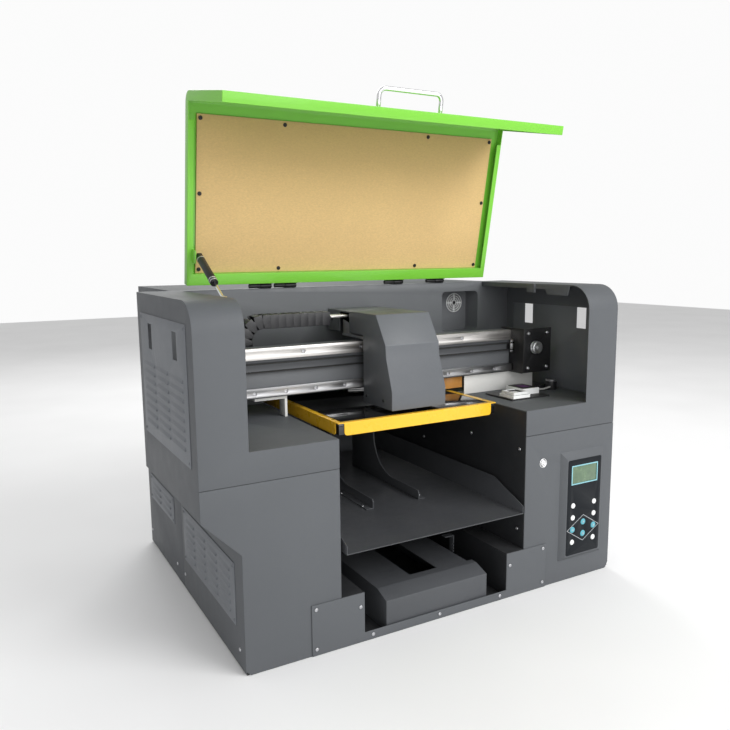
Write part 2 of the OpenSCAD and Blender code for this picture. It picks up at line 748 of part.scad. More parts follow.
// White cap with a sealing rim, which drops out of the print head's way
module cap_pad() color("white") from_front() difference() {
    span(cap_x - cap_half, cap_x + cap_half, cap_y - cap_half, cap_y + cap_half,
        shelf_h + 9, carriage_z - 2);
    span(cap_x - cap_half + 4, cap_x + cap_half - 4, cap_y - cap_half + 4,
        cap_y + cap_half - 4, carriage_z - 6, carriage_z);
}

// ---------------------------------------------------------------- table

// Slide block inside the drive housing, with the hollow column that stands in its slot
module table_slide_block() color("dimgray") from_front() difference() {
    union() {
        span(-80, 80, col_y - 12, col_y + col_l + 12, pan_t + 2, nose_top - 6);
        span(-col_half, col_half, col_y, col_y + col_l, nose_top - 6, col_top);
    }
    span(-col_half + col_wall, col_half - col_wall, col_y + col_wall,
        col_y + col_l - col_wall, 12, col_top + 1);
}

// Sheet-metal tray with side walls, cut back at the front, and its lift column
module deck() color("darkslategray") from_front() {
    w = deck_half;
    span(-w, w, deck_front, deck_back, deck_z - deck_t, deck_z);
    for (s = [0, 1]) mirror([s, 0, 0]) across(w - deck_t, w)
        polygon([[deck_front, deck_z], [deck_front, deck_z + 14],
            [deck_front + 88, deck_z + deck_wall], [deck_back, deck_z + deck_wall],
            [deck_back, deck_z]]);
    c = col_half - col_wall - col_fit;
    y0 = col_y + col_wall + col_fit;
    span(-c, c, y0, y0 + col_l - 2 * (col_wall + col_fit), deck_z - 83, deck_z - deck_t);
}

// Two curved ribs that carry the bed, each with a foot flange
module deck_ribs() color("darkslategray") from_front() {
    z1 = bed_z - rim_t - core_h;
    r = rib_curve;
    for (i = [0, 1]) {
        x = rib_xs[i];
        s = i == 0 ? -1 : 1;
        across(x - rib_t / 2, x + rib_t / 2) polygon(concat([[rib_y, deck_z],
            [rib_y, deck_z + rib_arm - 4], [rib_y + 4, deck_z + rib_arm]],
            arc(rib_post_y - r, deck_z + rib_arm + r, r, 270, 360),
            [[rib_post_y, z1], [rib_end, z1], [rib_end, deck_z]]));
        x0 = s > 0 ? x + rib_t / 2 : x - rib_t / 2 - 14;
        span(x0, x0 + 14, rib_y, rib_end, deck_z, deck_z + 2);
        span(x0 - (s > 0 ? 0 : 6), x0 + 20 - (s > 0 ? 0 : 6), rib_post_y, rib_end,
            z1 - 2, z1);
    }
}

// Black body of the media bed, which lies inside the yellow frame
module bed_plate() color("black") from_front() {
    w = bed_w / 2 - 2;
    z1 = bed_z - rim_t;
    span(-w, w, bed_y + 2, bed_y + bed_l - 2, z1 - core_h, z1);
    span(-w + rim_w, w - rim_w, bed_y + 2 + rim_w, bed_y + bed_l - 2 - rim_w, z1, bed_z - 0.3);
}

// Yellow sheet frame: a flat rim with a flange bent down along each side
module bed_frame() color("gold") from_front() {
    w = bed_w / 2;
    y1 = bed_y + bed_l;
    c = 12;
    difference() {
        span(-w, w, bed_y, y1, bed_z - rim_t, bed_z);
        span(-w + rim_w, w - rim_w, bed_y + rim_w, y1 - rim_w, bed_z - 3, bed_z + 1);
    }
    for (y = [bed_y, y1 - rim_t]) back(y, y + rim_t) {
        round_box2d(-w + c, w - c, bed_z - flange_h, bed_z - rim_t, 6);
        box2d(-w + c, w - c, bed_z - flange_h / 2, bed_z - rim_t);
    }
    for (x = [-w, w - rim_t]) across(x, x + rim_t) {
        round_box2d(bed_y + c, y1 - c, bed_z - flange_h, bed_z - rim_t, 6);
        box2d(bed_y + c, y1 - c, bed_z - flange_h / 2, bed_z - rim_t);
    }
}

// ---------------------------------------------------------------- lid

// Places the lid, drawn closed with its hinge line at the origin, in its open pose
module open_lid() from_front() translate([0, hinge_y, hinge_z]) rotate([-lid_open, 0, 0])
    children();

module lid_shell() color("limegreen") open_lid() {
    w = lid_half;
    t = lid_t;
    z1 = plate_up + t;
    zf = z1 - lid_front_h;
    r = lid_fold_r;
    inside = arc(-lid_len + r, z1 - r, r - t, 180, 90);
    across(-w, w) polygon(concat(arc(-lid_len + r, z1 - r, r, 90, 180), [[-lid_len, zf],
        [-lid_len + t, zf]], inside, [[-bar_start, plate_up], [-bar_start, z1]]));
    for (s = [0, 1]) mirror([s, 0, 0]) {
        across(w - t, w) polygon(concat([[-bar_start, plate_up],
            [-bar_start, z1 - lid_flange], [-lid_len + lid_flange, z1 - lid_flange],
            [-lid_len + lid_flange, zf], [-lid_len + t, zf]], inside));
        span(w - return_w, w - t, -lid_len + lid_flange + 30, -bar_start - bar_w,
            z1 - lid_flange, z1 - lid_flange + t);
    }
    span(-w + t, w - t, -lid_len + t, -lid_len + lid_flange, zf, zf + t);
    // box bar along the hinge side
    span(-w + t, w - t, -bar_start - t, -bar_start, z1 - lid_flange, plate_up);
    span(-w + t, w - t, -bar_start - bar_w, -bar_start - bar_w + t, z1 - lid_flange, plate_up);
    span(-w + t, w - t, -bar_start - bar_w + t, -bar_start - t, z1 - lid_flange,
        z1 - lid_flange + t);
    // tab that the gas strut's upper stud bolts to
    span(strut_x - 10, strut_x - 8, -ball_s - 12, -ball_s + 12, -ball_drop - 8, plate_up);
}

module lid_panel() color("tan") open_lid()
    span(-lid_half + 19, lid_half - 19, -lid_len + 36, -bar_start - bar_w, plate_up - 4,
        plate_up);

// Bow handle of round bar on the lid's front wall
module lid_handle() color("silver") open_lid() {
    r = 4;
    bend = 12;
    z = plate_up + lid_t - lid_front_h + 20;
    y0 = -lid_len;
    out = 31;
    for (s = [-1, 1]) {
        x = s * handle_w / 2;
        translate([x, y0, z]) rotate([90, 0, 0]) cylinder(h = out - bend, r = r);
        translate([x - s * bend, y0 - out + bend, z]) rotate([0, 0, s > 0 ? -90 : 180])
            rotate_extrude(angle = 90) translate([bend, 0]) circle(r);
    }
    pin_x(-handle_w / 2 + bend, handle_w / 2 - bend, y0 - out, z, r);
}

module lid_screws() color("black") open_lid() {
    z = plate_up - 4;
    w = lid_half - 25;
    for (x = [-w, w]) for (y = [-bar_start - bar_w - 7, -lid_len / 2, -lid_len + 43])
        translate([x, y, z - 2]) cylinder(h = 2, r = 4);
    for (x = [-w / 2, w / 2]) for (y = [-bar_start - bar_w - 7, -lid_len + 43])
        translate([x, y, z - 2]) cylinder(h = 2, r = 4);
}

// Lid halves of the hinges: a leaf on the hinge bar and the outer knuckle
module lid_hinges() color("black") open_lid() for (x = hinge_xs) difference() {
    union() {
        span(x, x + hinge_leaf_w, -bar_start, -bar_start + 1.5, -6, plate_up - 1);
        pin_x(x, x + hinge_leaf_w / 2 - 0.4, 0, 0, hinge_r);
        span(x, x + hinge_leaf_w / 2 - 0.4, -bar_start + 1.5, 0, -1.5, 1.5);
    }
    pin_x(x - 1, x + hinge_leaf_w / 2 + 1, 0, 0, pin_r + run_gap);
}

// Fixed halves of the hinges with their pins
module hinge_bases() color("black") from_front() for (x = hinge_xs) {
    h = hinge_leaf_w / 2;
    span(x + h, x + 2 * h, hinge_y, hinge_y + 22, cabinet_h, cabinet_h + 1.5);
    difference() {
        union() {
            pin_x(x + h + 0.4, x + 2 * h, hinge_y, hinge_z, hinge_r);
            span(x + h + 0.4, x + 2 * h, hinge_y, hinge_y + 3, cabinet_h + 1.5, hinge_z);
        }
        pin_x(x, x + h, hinge_y, hinge_z, hinge_r + 1);
    }
    pin_x(x + 1, x + h + 0.4, hinge_y, hinge_z, pin_r);
}

// ---------------------------------------------------------------- gas strut

// Places a shape drawn along +Y from the strut's lower ball
module along_strut() from_front() translate([strut_x, strut_low_y, strut_low_z])
    rotate([strut_angle, 0, 0]) children();

module strut_eye(y) {
    difference() {
        pin_x(-eye_t / 2, eye_t / 2, y, 0, eye_r);
        pin_x(-eye_t, eye_t, y, 0, stud_r + run_gap);
    }
}

module strut_rod() color("silver") along_strut() {
    strut_eye(0);
    difference() {
        pin_y(0, 3, rod_end, 0, rod_r);
        pin_x(-eye_t, eye_t, 0, 0, stud_r + 1.5);
    }
}

module strut_cylinder() color("black") along_strut() {
    tip = strut_len - eye_r + 2;
    difference() {
        pin_y(0, rod_show, tip, 0, strut_r);
        pin_y(0, rod_show - 1, tip - 10, 0, rod_r + 0.3);
    }
    pin_x(-eye_t / 2, eye_t / 2, strut_len, 0, eye_r);
    pin_x(-7.6, 0, strut_len, 0, stud_r);
}

// ---------------------------------------------------------------- keypad

// Raised frame that slopes from its foot up to the face plate
module keypad_bezel() color("gray") from_front() difference() {
    x0 = key_x - keypad_w / 2;
    x1 = key_x + keypad_w / 2;
    z1 = keypad_z + keypad_h;
    intersection() {
        linear_extrude(z1) polygon([[x0, 0], [x1, 0], [key_x + face_half, -keypad_rise],
            [key_x - face_half, -keypad_rise]]);
        across(x0, x1) polygon([[0, keypad_z], [0, z1], [-keypad_rise, face_high],
            [-keypad_rise, face_low]]);
    }
    back(-keypad_rise - 1, 1) box2d(key_x - pad_half + 5, key_x + pad_half - 5,
        pad_low + 5, pad_high - 5);
    back(-keypad_rise - 1, face_y + 1.5)
        round_box2d(key_x - pad_half, key_x + pad_half, pad_low, pad_high, 4);
}

// Black face plate with a window and a hole for each key
module keypad_panel() color("black") from_front() {
    difference() {
        back(face_y - 0.5, face_y + 1.5)
            round_box2d(key_x - pad_half + 0.2, key_x + pad_half - 0.2, pad_low + 0.2,
                pad_high - 0.2, 4);
        back(face_y - 1, face_y + 2)
            box2d(key_x - screen_w / 2, key_x + screen_w / 2, screen_z, screen_z + screen_h);
        for (s = [-1, 1]) for (z = key_rows)
            pin_y(key_x + s * key_dx, face_y - 1, face_y + 2, z, key_r + 0.3);
        for (p = arrow_places)
            pin_y(key_x + p[0], face_y - 1, face_y + 2, arrow_z + p[1], key_r + 1.3);
    }
    back(face_y + 1.5, face_y + 12) box2d(key_x - screen_w / 2 - 3,
        key_x + screen_w / 2 + 3, screen_z - 4, screen_z + screen_h + 4);
    back(face_y + 8, face_y + 10) box2d(key_x - pad_half + 7, key_x + pad_half - 7,
        pad_low + 7, screen_z - 4);
}

module key(x, z, r) from_front() pin_y(x, face_y - 1.8, face_y + 5, z, r);

module white_key(side, row) color("white") key(key_x + side * key_dx, key_rows[row], key_r);

module arrow_key(i) color("steelblue")
    key(key_x + arrow_places[i][0], arrow_z + arrow_places[i][1], key_r + 1);

module power_button() color("silver") from_front() {
    pin_y(button_x, -3, 12, button_z, button_r);
}

base_pan();
left_lower_shell();
right_lower_shell();
left_upper_cover();
right_upper_cover();
rear_body();
rear_panel();
interior_back_wall();
tower_liners();
side_vents();
front_skirt();
rail_boxes();
cabinet_screws();
drive_housing();
fan_box();
fan_grille();
fan_rotor();
beam();
beam_steel_bar();
linear_rail();
beam_feet();
amber_guard();
beam_brackets();
drive_pulley();
idler_pulley();
belt();
carriage_motor();
carriage_cover();
carriage_plate();
print_head();
uv_lamp();
cable_chain();
cap_base();
cap_pad();
table_slide_block();
deck();
deck_ribs();
bed_plate();
bed_frame();
lid_shell();
lid_panel();
lid_handle();
lid_screws();
lid_hinges();
hinge_bases();
strut_rod();
strut_cylinder();
keypad_bezel();
keypad_panel();
power_button();
white_key(-1, 0);  // key_menu
white_key(1, 0);  // key_home
white_key(-1, 1);  // key_load
white_key(1, 1);  // key_eject
white_key(-1, 2);  // key_cancel
white_key(1, 2);  // key_print
arrow_key(0);  // arrow_up
arrow_key(1);  // arrow_right
arrow_key(2);  // arrow_left
arrow_key(3);  // arrow_down
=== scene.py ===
import json
import math

import bmesh
import bpy
from mathutils import Matrix, Vector


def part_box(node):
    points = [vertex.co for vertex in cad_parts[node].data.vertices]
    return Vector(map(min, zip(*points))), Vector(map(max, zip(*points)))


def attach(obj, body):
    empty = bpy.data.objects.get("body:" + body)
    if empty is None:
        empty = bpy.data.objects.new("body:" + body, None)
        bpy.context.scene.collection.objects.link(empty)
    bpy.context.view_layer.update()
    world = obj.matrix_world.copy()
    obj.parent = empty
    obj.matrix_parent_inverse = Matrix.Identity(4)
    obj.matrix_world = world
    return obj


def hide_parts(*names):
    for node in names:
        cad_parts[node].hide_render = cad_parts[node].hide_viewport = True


bl_info = {
    "name": "Flatbed UV Printer",
    "version": (1, 0, 0),
    "blender": (4, 5, 0),
    "location": "3D View > Sidebar > UV Printer",
    "description": "Builds the finished look of a flatbed UV printer on its CAD frame",
    "category": "Add Mesh",
}

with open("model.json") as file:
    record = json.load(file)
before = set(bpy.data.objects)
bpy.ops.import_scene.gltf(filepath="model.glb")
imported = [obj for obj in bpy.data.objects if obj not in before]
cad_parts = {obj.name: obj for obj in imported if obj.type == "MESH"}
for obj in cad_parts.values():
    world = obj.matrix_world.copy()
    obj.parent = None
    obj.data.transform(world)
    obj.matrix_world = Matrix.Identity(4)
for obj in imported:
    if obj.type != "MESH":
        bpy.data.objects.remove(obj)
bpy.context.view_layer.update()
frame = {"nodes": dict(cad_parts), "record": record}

KEYS = ("key_menu", "key_home", "key_load", "key_eject", "key_cancel", "key_print")
ARROWS = ("arrow_up", "arrow_right", "arrow_left", "arrow_down")
LID_OPEN = math.radians(79)
HINGE = Vector((0.0, 0.015, 0.596))
LID_TURN = Matrix.Translation(HINGE) @ Matrix.Rotation(-LID_OPEN, 4, "X")
FRONT = -0.316  # front face of the towers
INLET_X, INLET_Z = 0.25, 0.06
RAIL_FIRST, BAR_FIRST, BAR_PITCH = -0.33, -0.291, 0.12  # first bolts, and their spacing
FAN_BLADES = 7
CHAIN_TOP, CHAIN_HEIGHT, BEND_LINKS = 0.5475, 0.026, 7
PUMP_X, PUMP_Y, PUMP_TOP = 0.311, FRONT + 0.141, 0.376
STRUT_TUBE = 0.15196  # from the strut's foot to the far end of its cylinder
# The handle's feet in the closed lid's frame. They stand behind the front wall.
FOOT_X, FOOT_Y, FOOT_Z = 0.064, -0.336, 0.0085 - 0.196 + 0.02
CAMERA_PLACE = (-0.7102, -1.3207, 0.6523)
CAMERA_YAW, CAMERA_PITCH, CAMERA_ROLL = -29.18, 90 - 8.63, -0.56


# ------------------------------------------------------------ sizes and colours

def length_prop(name, description, default):
    return bpy.props.FloatProperty(name=name, description=description, default=default,
                                   unit="LENGTH")


def number_prop(name, description, default):
    return bpy.props.FloatProperty(name=name, description=description, default=default)


def colour_prop(name, description, default):
    return bpy.props.FloatVectorProperty(name=name, description=description,
                                         subtype="COLOR", size=3, default=default)


class PrinterSizes(bpy.types.PropertyGroup):
    fold: length_prop("Fold radius", "Radius on the edges of folded sheet metal", 0.0009)
    casting: length_prop("Cast edge", "Radius on the edges of machined parts", 0.0005)
    cover_fold: length_prop("Cover fold", "Radius on the edges of the carriage cover",
                            0.0018)
    link_pitch: length_prop("Link pitch", "Length of one link of the cable chain", 0.015)
    tooth_pitch: length_prop("Tooth pitch", "Spacing of the belt's teeth", 0.005)
    rail_pitch: length_prop("Rail screw pitch", "Spacing of the rail's screws", 0.06)


class PrinterColours(bpy.types.PropertyGroup):
    shell: colour_prop("Shells", "Powder coat of the cabinet", (0.098, 0.104, 0.112))
    vents: colour_prop("Vent plates", "Paint of the louvred plates", (0.16, 0.17, 0.185))
    cover: colour_prop("Carriage cover", "Paint of the carriage cover",
                       (0.105, 0.112, 0.122))
    lid: colour_prop("Lid", "Paint of the lid", (0.18, 0.53, 0.045))
    board: colour_prop("Lid lining", "Board that lines the lid", (0.68, 0.47, 0.21))
    bed: colour_prop("Bed frame", "Paint of the bed's frame", (0.86, 0.49, 0.028))


class PrinterStage(bpy.types.PropertyGroup):
    lens: number_prop("Lens", "Focal length in millimetres on a 36 mm sensor", 35.46)
    key_light: number_prop("Key light", "Power of the large light in watts", 80.0)
    fill_light: number_prop("Fill light", "Power of the fill and rim lights in watts",
                            34.0)
    sky: number_prop("Sky", "Strength of the even surrounding light", 0.62)
    backdrop: number_prop("Backdrop", "Brightness of the plain backdrop", 0.97)


# ------------------------------------------------------------ shared texture groups

FLOAT, COLOUR, VECTOR = "NodeSocketFloat", "NodeSocketColor", "NodeSocketVector"


def new_group(name, inputs, outputs):
    """A shader group, the two ends inside it and the object's own coordinates."""
    group = bpy.data.node_groups.new(name, "ShaderNodeTree")
    for label, kind, value in inputs:
        socket = group.interface.new_socket(label, in_out="INPUT", socket_type=kind)
        socket.default_value = value
    for label, kind in outputs:
        group.interface.new_socket(label, in_out="OUTPUT", socket_type=kind)
    return (group, add(group, "NodeGroupInput").outputs,
            add(group, "NodeGroupOutput").inputs, object_place(group))


def add(tree, kind, **settings):
    node = tree.nodes.new(kind)
    for key, value in settings.items():
        setattr(node, key, value)
    return node


def object_place(tree):
    """Coordinates that stay with the object."""
    return add(tree, "ShaderNodeTexCoord").outputs["Object"]


def noise(tree, vector, scale, detail=3.0, rough=0.55):
    node = add(tree, "ShaderNodeTexNoise")
    node.inputs["Detail"].default_value = detail
    node.inputs["Roughness"].default_value = rough
    if isinstance(scale, (int, float)):
        node.inputs["Scale"].default_value = scale
    else:
        tree.links.new(scale, node.inputs["Scale"])
    tree.links.new(vector, node.inputs["Vector"])
    return node.outputs["Fac"]


def math_node(tree, operation, a, b=0.0, clamp=False):
    node = add(tree, "ShaderNodeMath", operation=operation, use_clamp=clamp)
    for i, value in enumerate((a, b)):
        if isinstance(value, (int, float)):
            node.inputs[i].default_value = value
        else:
            tree.links.new(value, node.inputs[i])
    return node.outputs[0]


def ramp(tree, value, low, high, out_low=0.0, out_high=1.0):
    node = add(tree, "ShaderNodeMapRange")
    tree.links.new(value, node.inputs["Value"])
    for socket, number in zip(("From Min", "From Max", "To Min", "To Max"),
                              (low, high, out_low, out_high)):
        if isinstance(number, (int, float)):
            node.inputs[socket].default_value = number
        else:
            tree.links.new(number, node.inputs[socket])
    return node.outputs["Result"]


def mix_colour(tree, fac, a, b, blend="MIX"):
    node = add(tree, "ShaderNodeMix", data_type="RGBA", blend_type=blend)
    for socket, value in ((node.inputs["Factor"], fac), (node.inputs[6], a),
                          (node.inputs[7], b)):
        if isinstance(value, (int, float)):
            socket.default_value = value
        elif isinstance(value, (tuple, list)):
            socket.default_value = (*value[:3], 1.0)
        else:
            tree.links.new(value, socket)
    return node.outputs[2]


def make_tone_group():
    """Slow changes of shade, faint rubbed patches and dust that lies on level faces."""
    g, src, out, place = new_group("Tone and dust", (
        ("Colour", COLOUR, (0.5, 0.5, 0.5, 1)),
        ("Variation", FLOAT, 0.12), ("Dust", FLOAT, 0.15),
        ("Patch Scale", FLOAT, 6.0)), (("Colour", COLOUR),
                                                   ("Dust Mask", FLOAT)))
    patch = noise(g, place, src["Patch Scale"], 4.0)
    fine = noise(g, place, 160.0, 2.0)
    shade = math_node(g, "ADD", math_node(g, "MULTIPLY", patch, 0.75),
                      math_node(g, "MULTIPLY", fine, 0.25))
    spread = ramp(g, shade, 0.3, 0.7, -1.0, 1.0)
    gain = math_node(g, "ADD", math_node(g, "MULTIPLY", spread, src["Variation"]), 1.0)
    bright = add(g, "ShaderNodeVectorMath", operation="SCALE")
    g.links.new(src["Colour"], bright.inputs[0])
    g.links.new(gain, bright.inputs["Scale"])
    normal = add(g, "ShaderNodeSeparateXYZ")
    g.links.new(add(g, "ShaderNodeNewGeometry").outputs["Normal"], normal.inputs[0])
    level = ramp(g, normal.outputs["Z"], 0.6, 1.0)
    specks = ramp(g, noise(g, place, 420.0, 5.0, 0.7), 0.5, 0.72)
    haze = ramp(g, noise(g, place, 14.0, 3.0), 0.35, 0.75, 0.2, 1.0)
    lie = math_node(g, "MULTIPLY", math_node(g, "MULTIPLY", level, haze),
                    math_node(g, "ADD", math_node(g, "MULTIPLY", specks, 0.7), 0.3))
    mask = math_node(g, "MULTIPLY", lie, src["Dust"], True)
    g.links.new(mix_colour(g, mask, bright.outputs[0], (0.42, 0.41, 0.39)), out["Colour"])
    g.links.new(mask, out["Dust Mask"])
    return g


def make_coat_group():
    """The fine pebbled skin of powder coat, with a roughness that wanders a little."""
    g, src, out, place = new_group("Powder coat skin", (
        ("Grain Scale", FLOAT, 900.0), ("Roughness", FLOAT, 0.5),
        ("Wander", FLOAT, 0.12)), (("Height", FLOAT),
                                               ("Roughness", FLOAT)))
    peel = noise(g, place, src["Grain Scale"], 2.0, 0.5)
    broad = noise(g, place, 38.0, 3.0)
    g.links.new(math_node(g, "ADD", peel, math_node(g, "MULTIPLY", broad, 0.3)),
                out["Height"])
    swing = math_node(g, "MULTIPLY", ramp(g, broad, 0.3, 0.7, -1.0, 1.0), src["Wander"])
    g.links.new(math_node(g, "ADD", src["Roughness"], swing, True), out["Roughness"])
    return g


def make_brush_group():
    """Long fine scratches of brushed or ground metal, along X unless it is turned."""
    g, src, out, place = new_group("Brushed lines", (
        ("Stretch", VECTOR, (6.0, 700.0, 700.0)),
        ("Roughness", FLOAT, 0.3), ("Wander", FLOAT, 0.18)),
        (("Height", FLOAT), ("Roughness", FLOAT),
         ("Shade", FLOAT)))
    pull = add(g, "ShaderNodeVectorMath", operation="MULTIPLY")
    g.links.new(place, pull.inputs[0])
    g.links.new(src["Stretch"], pull.inputs[1])
    lines = noise(g, pull.outputs[0], 1.0, 4.0, 0.65)
    smear = noise(g, place, 22.0, 3.0)
    g.links.new(lines, out["Height"])
    swing = math_node(g, "MULTIPLY", ramp(g, lines, 0.3, 0.7, -1.0, 1.0), src["Wander"])
    rub = math_node(g, "MULTIPLY", ramp(g, smear, 0.4, 0.8), 0.12)
    g.links.new(math_node(g, "ADD", math_node(g, "ADD", src["Roughness"], swing), rub,
                          True), out["Roughness"])
    g.links.new(ramp(g, lines, 0.25, 0.75, 0.82, 1.06), out["Shade"])
    return g


def make_smudge_group():
    """Fingerprint-like clouds and tiny pits for glossy faces."""
    g, src, out, place = new_group("Smudges", (
        ("Roughness", FLOAT, 0.12), ("Amount", FLOAT, 0.15)),
        (("Roughness", FLOAT), ("Height", FLOAT)))
    cloud = ramp(g, noise(g, place, 30.0, 5.0, 0.6), 0.45, 0.75)
    fine = noise(g, place, 900.0, 2.0)
    g.links.new(math_node(g, "ADD", src["Roughness"],
                          math_node(g, "MULTIPLY", cloud, src["Amount"]), True),
                out["Roughness"])
    g.links.new(math_node(g, "ADD", fine, cloud), out["Height"])
    return g


GROUPS = {}


def group(name):
    if name not in GROUPS:
        GROUPS[name] = {"tone": make_tone_group, "coat": make_coat_group,
                        "brush": make_brush_group, "smudge": make_smudge_group}[name]()
    return GROUPS[name]


# ------------------------------------------------------------ materials

MATERIALS = {}


def start_material(name):
    mat = bpy.data.materials.new(name)
    mat.use_nodes = True
    tree = mat.node_tree
    return mat, tree, tree.nodes["Principled BSDF"]


def place_group(tree, name, **values):
    node = add(tree, "ShaderNodeGroup", node_tree=group(name))
    for label, value in values.items():
        node.inputs[label.replace("_", " ")].default_value = value
    return node.outputs


def bump(tree, shader, height, strength, distance):
    node = add(tree, "ShaderNodeBump")
    node.inputs["Strength"].default_value = strength
    node.inputs["Distance"].default_value = distance
    tree.links.new(height, node.inputs["Height"])
    tree.links.new(node.outputs["Normal"], shader.inputs["Normal"])


def tone_and_rough(tree, shader, skin, dulling, colour, variation, dust):
    """Toned and dusty colour, and a skin group's roughness made duller by the dust."""
    tone = place_group(tree, "tone", Colour=(*colour, 1), Variation=variation, Dust=dust)
    tree.links.new(tone["Colour"], shader.inputs["Base Color"])
    dull = math_node(tree, "MULTIPLY", tone["Dust Mask"], dulling)
    tree.links.new(math_node(tree, "ADD", skin["Roughness"], dull, True),
                   shader.inputs["Roughness"])


def painted(name, colour, rough=0.46, variation=0.1, dust=0.12, grain=1100.0, relief=0.35,
            coat=0.0, wander=0.08, shine=0.35):
    mat, tree, shader = start_material(name)
    skin = place_group(tree, "coat", Grain_Scale=grain, Roughness=rough, Wander=wander)
    tone_and_rough(tree, shader, skin, 0.4, colour, variation, dust)
    shader.inputs["Coat Weight"].default_value = coat
    shader.inputs["Coat Roughness"].default_value = 0.12
    shader.inputs["Specular IOR Level"].default_value = shine
    bump(tree, shader, skin["Height"], relief, 0.00025)
    return mat


def metal(name, colour, rough=0.28, stretch=(6.0, 700.0, 700.0), wander=0.12):
    mat, tree, shader = start_material(name)
    lines = place_group(tree, "brush", Stretch=stretch, Roughness=rough, Wander=wander)
    shade = add(tree, "ShaderNodeVectorMath", operation="SCALE")
    shade.inputs[0].default_value = colour
    tree.links.new(lines["Shade"], shade.inputs["Scale"])
    tree.links.new(shade.outputs[0], shader.inputs["Base Color"])
    tree.links.new(lines["Roughness"], shader.inputs["Roughness"])
    shader.inputs["Metallic"].default_value = 1.0
    bump(tree, shader, lines["Height"], 0.25, 0.0001)
    return mat


def glossy(name, colour, rough=0.1, amount=0.16, metallic=0.0, coat=0.0, dust=0.0,
           variation=0.04, shine=0.5):
    mat, tree, shader = start_material(name)
    smear = place_group(tree, "smudge", Roughness=rough, Amount=amount)
    tone_and_rough(tree, shader, smear, 0.5, colour, variation, dust)
    shader.inputs["Metallic"].default_value = metallic
    shader.inputs["Coat Weight"].default_value = coat
    shader.inputs["Specular IOR Level"].default_value = shine
    bump(tree, shader, smear["Height"], 0.08, 0.0001)
    return mat


def board_material(name, colour):
    """Tan fibreboard: fine fibres, flecks and a slow, browner darkening towards its upper
    edge.
    """
    mat, tree, shader = start_material(name)
    place = object_place(tree)
    pull = add(tree, "ShaderNodeMapping")
    pull.inputs["Scale"].default_value = (220.0, 700.0, 420.0)
    tree.links.new(place, pull.inputs["Vector"])
    fibre = noise(tree, pull.outputs[0], 1.0, 5.0, 0.7)
    fleck = ramp(tree, noise(tree, place, 260.0, 4.0, 0.75), 0.62, 0.74)
    cloud = noise(tree, place, 7.0, 3.0)
    height = add(tree, "ShaderNodeSeparateXYZ")
    tree.links.new(place, height.inputs[0])
    # Darker and browner towards the board's upper edge, set by height alone.
    upper_darkening = ramp(tree, height.outputs["Z"], 0.72, 0.9, 0.0, 0.4)
    base = mix_colour(tree, ramp(tree, fibre, 0.3, 0.7), [c * 0.86 for c in colour],
                      [min(1.0, c * 1.1) for c in colour])
    base = mix_colour(tree, ramp(tree, cloud, 0.35, 0.7, 0.0, 0.25), base,
                      [c * 0.78 for c in colour])
    base = mix_colour(tree, upper_darkening, base, [colour[0] * 0.62, colour[1] * 0.55,
                                         colour[2] * 0.45])
    base = mix_colour(tree, math_node(tree, "MULTIPLY", fleck, 0.45), base,
                      [c * 0.5 for c in colour])
    tree.links.new(base, shader.inputs["Base Color"])
    tree.links.new(ramp(tree, fibre, 0.3, 0.7, 0.72, 0.9), shader.inputs["Roughness"])
    bump(tree, shader, fibre, 0.35, 0.0003)
    return mat


def screen_material(name):
    """A passive green display with a fine dot grid."""
    mat, tree, shader = start_material(name)
    place = object_place(tree)
    cells = add(tree, "ShaderNodeSeparateXYZ")
    tree.links.new(place, cells.inputs[0])
    lines = []
    for axis in ("X", "Z"):
        wave = math_node(tree, "SINE", math_node(tree, "MULTIPLY", cells.outputs[axis],
                                                 2 * math.pi / 0.0008))
        lines.append(ramp(tree, wave, 0.6, 1.0))
    grid = math_node(tree, "MAXIMUM", lines[0], lines[1])
    cloud = noise(tree, place, 60.0, 2.0)
    base = mix_colour(tree, ramp(tree, cloud, 0.3, 0.7), (0.085, 0.135, 0.085),
                      (0.12, 0.18, 0.11))
    base = mix_colour(tree, math_node(tree, "MULTIPLY", grid, 0.25), base,
                      (0.07, 0.11, 0.07))
    tree.links.new(base, shader.inputs["Base Color"])
    # A painted glow: the emission lifts the passive display, which gives no light of its
    # own.
    tree.links.new(base, shader.inputs["Emission Color"])
    shader.inputs["Emission Strength"].default_value = 0.2
    tree.links.new(ramp(tree, cloud, 0.3, 0.7, 0.18, 0.3), shader.inputs["Roughness"])
    return mat


def amber_material(name):
    mat, tree, shader = start_material(name)
    place = object_place(tree)
    cloud = noise(tree, place, 25.0, 3.0)
    tree.links.new(mix_colour(tree, ramp(tree, cloud, 0.3, 0.7), (0.34, 0.15, 0.035),
                              (0.5, 0.24, 0.06)), shader.inputs["Base Color"])
    tree.links.new(ramp(tree, cloud, 0.3, 0.7, 0.12, 0.28), shader.inputs["Roughness"])
    shader.inputs["Coat Weight"].default_value = 0.4
    return mat


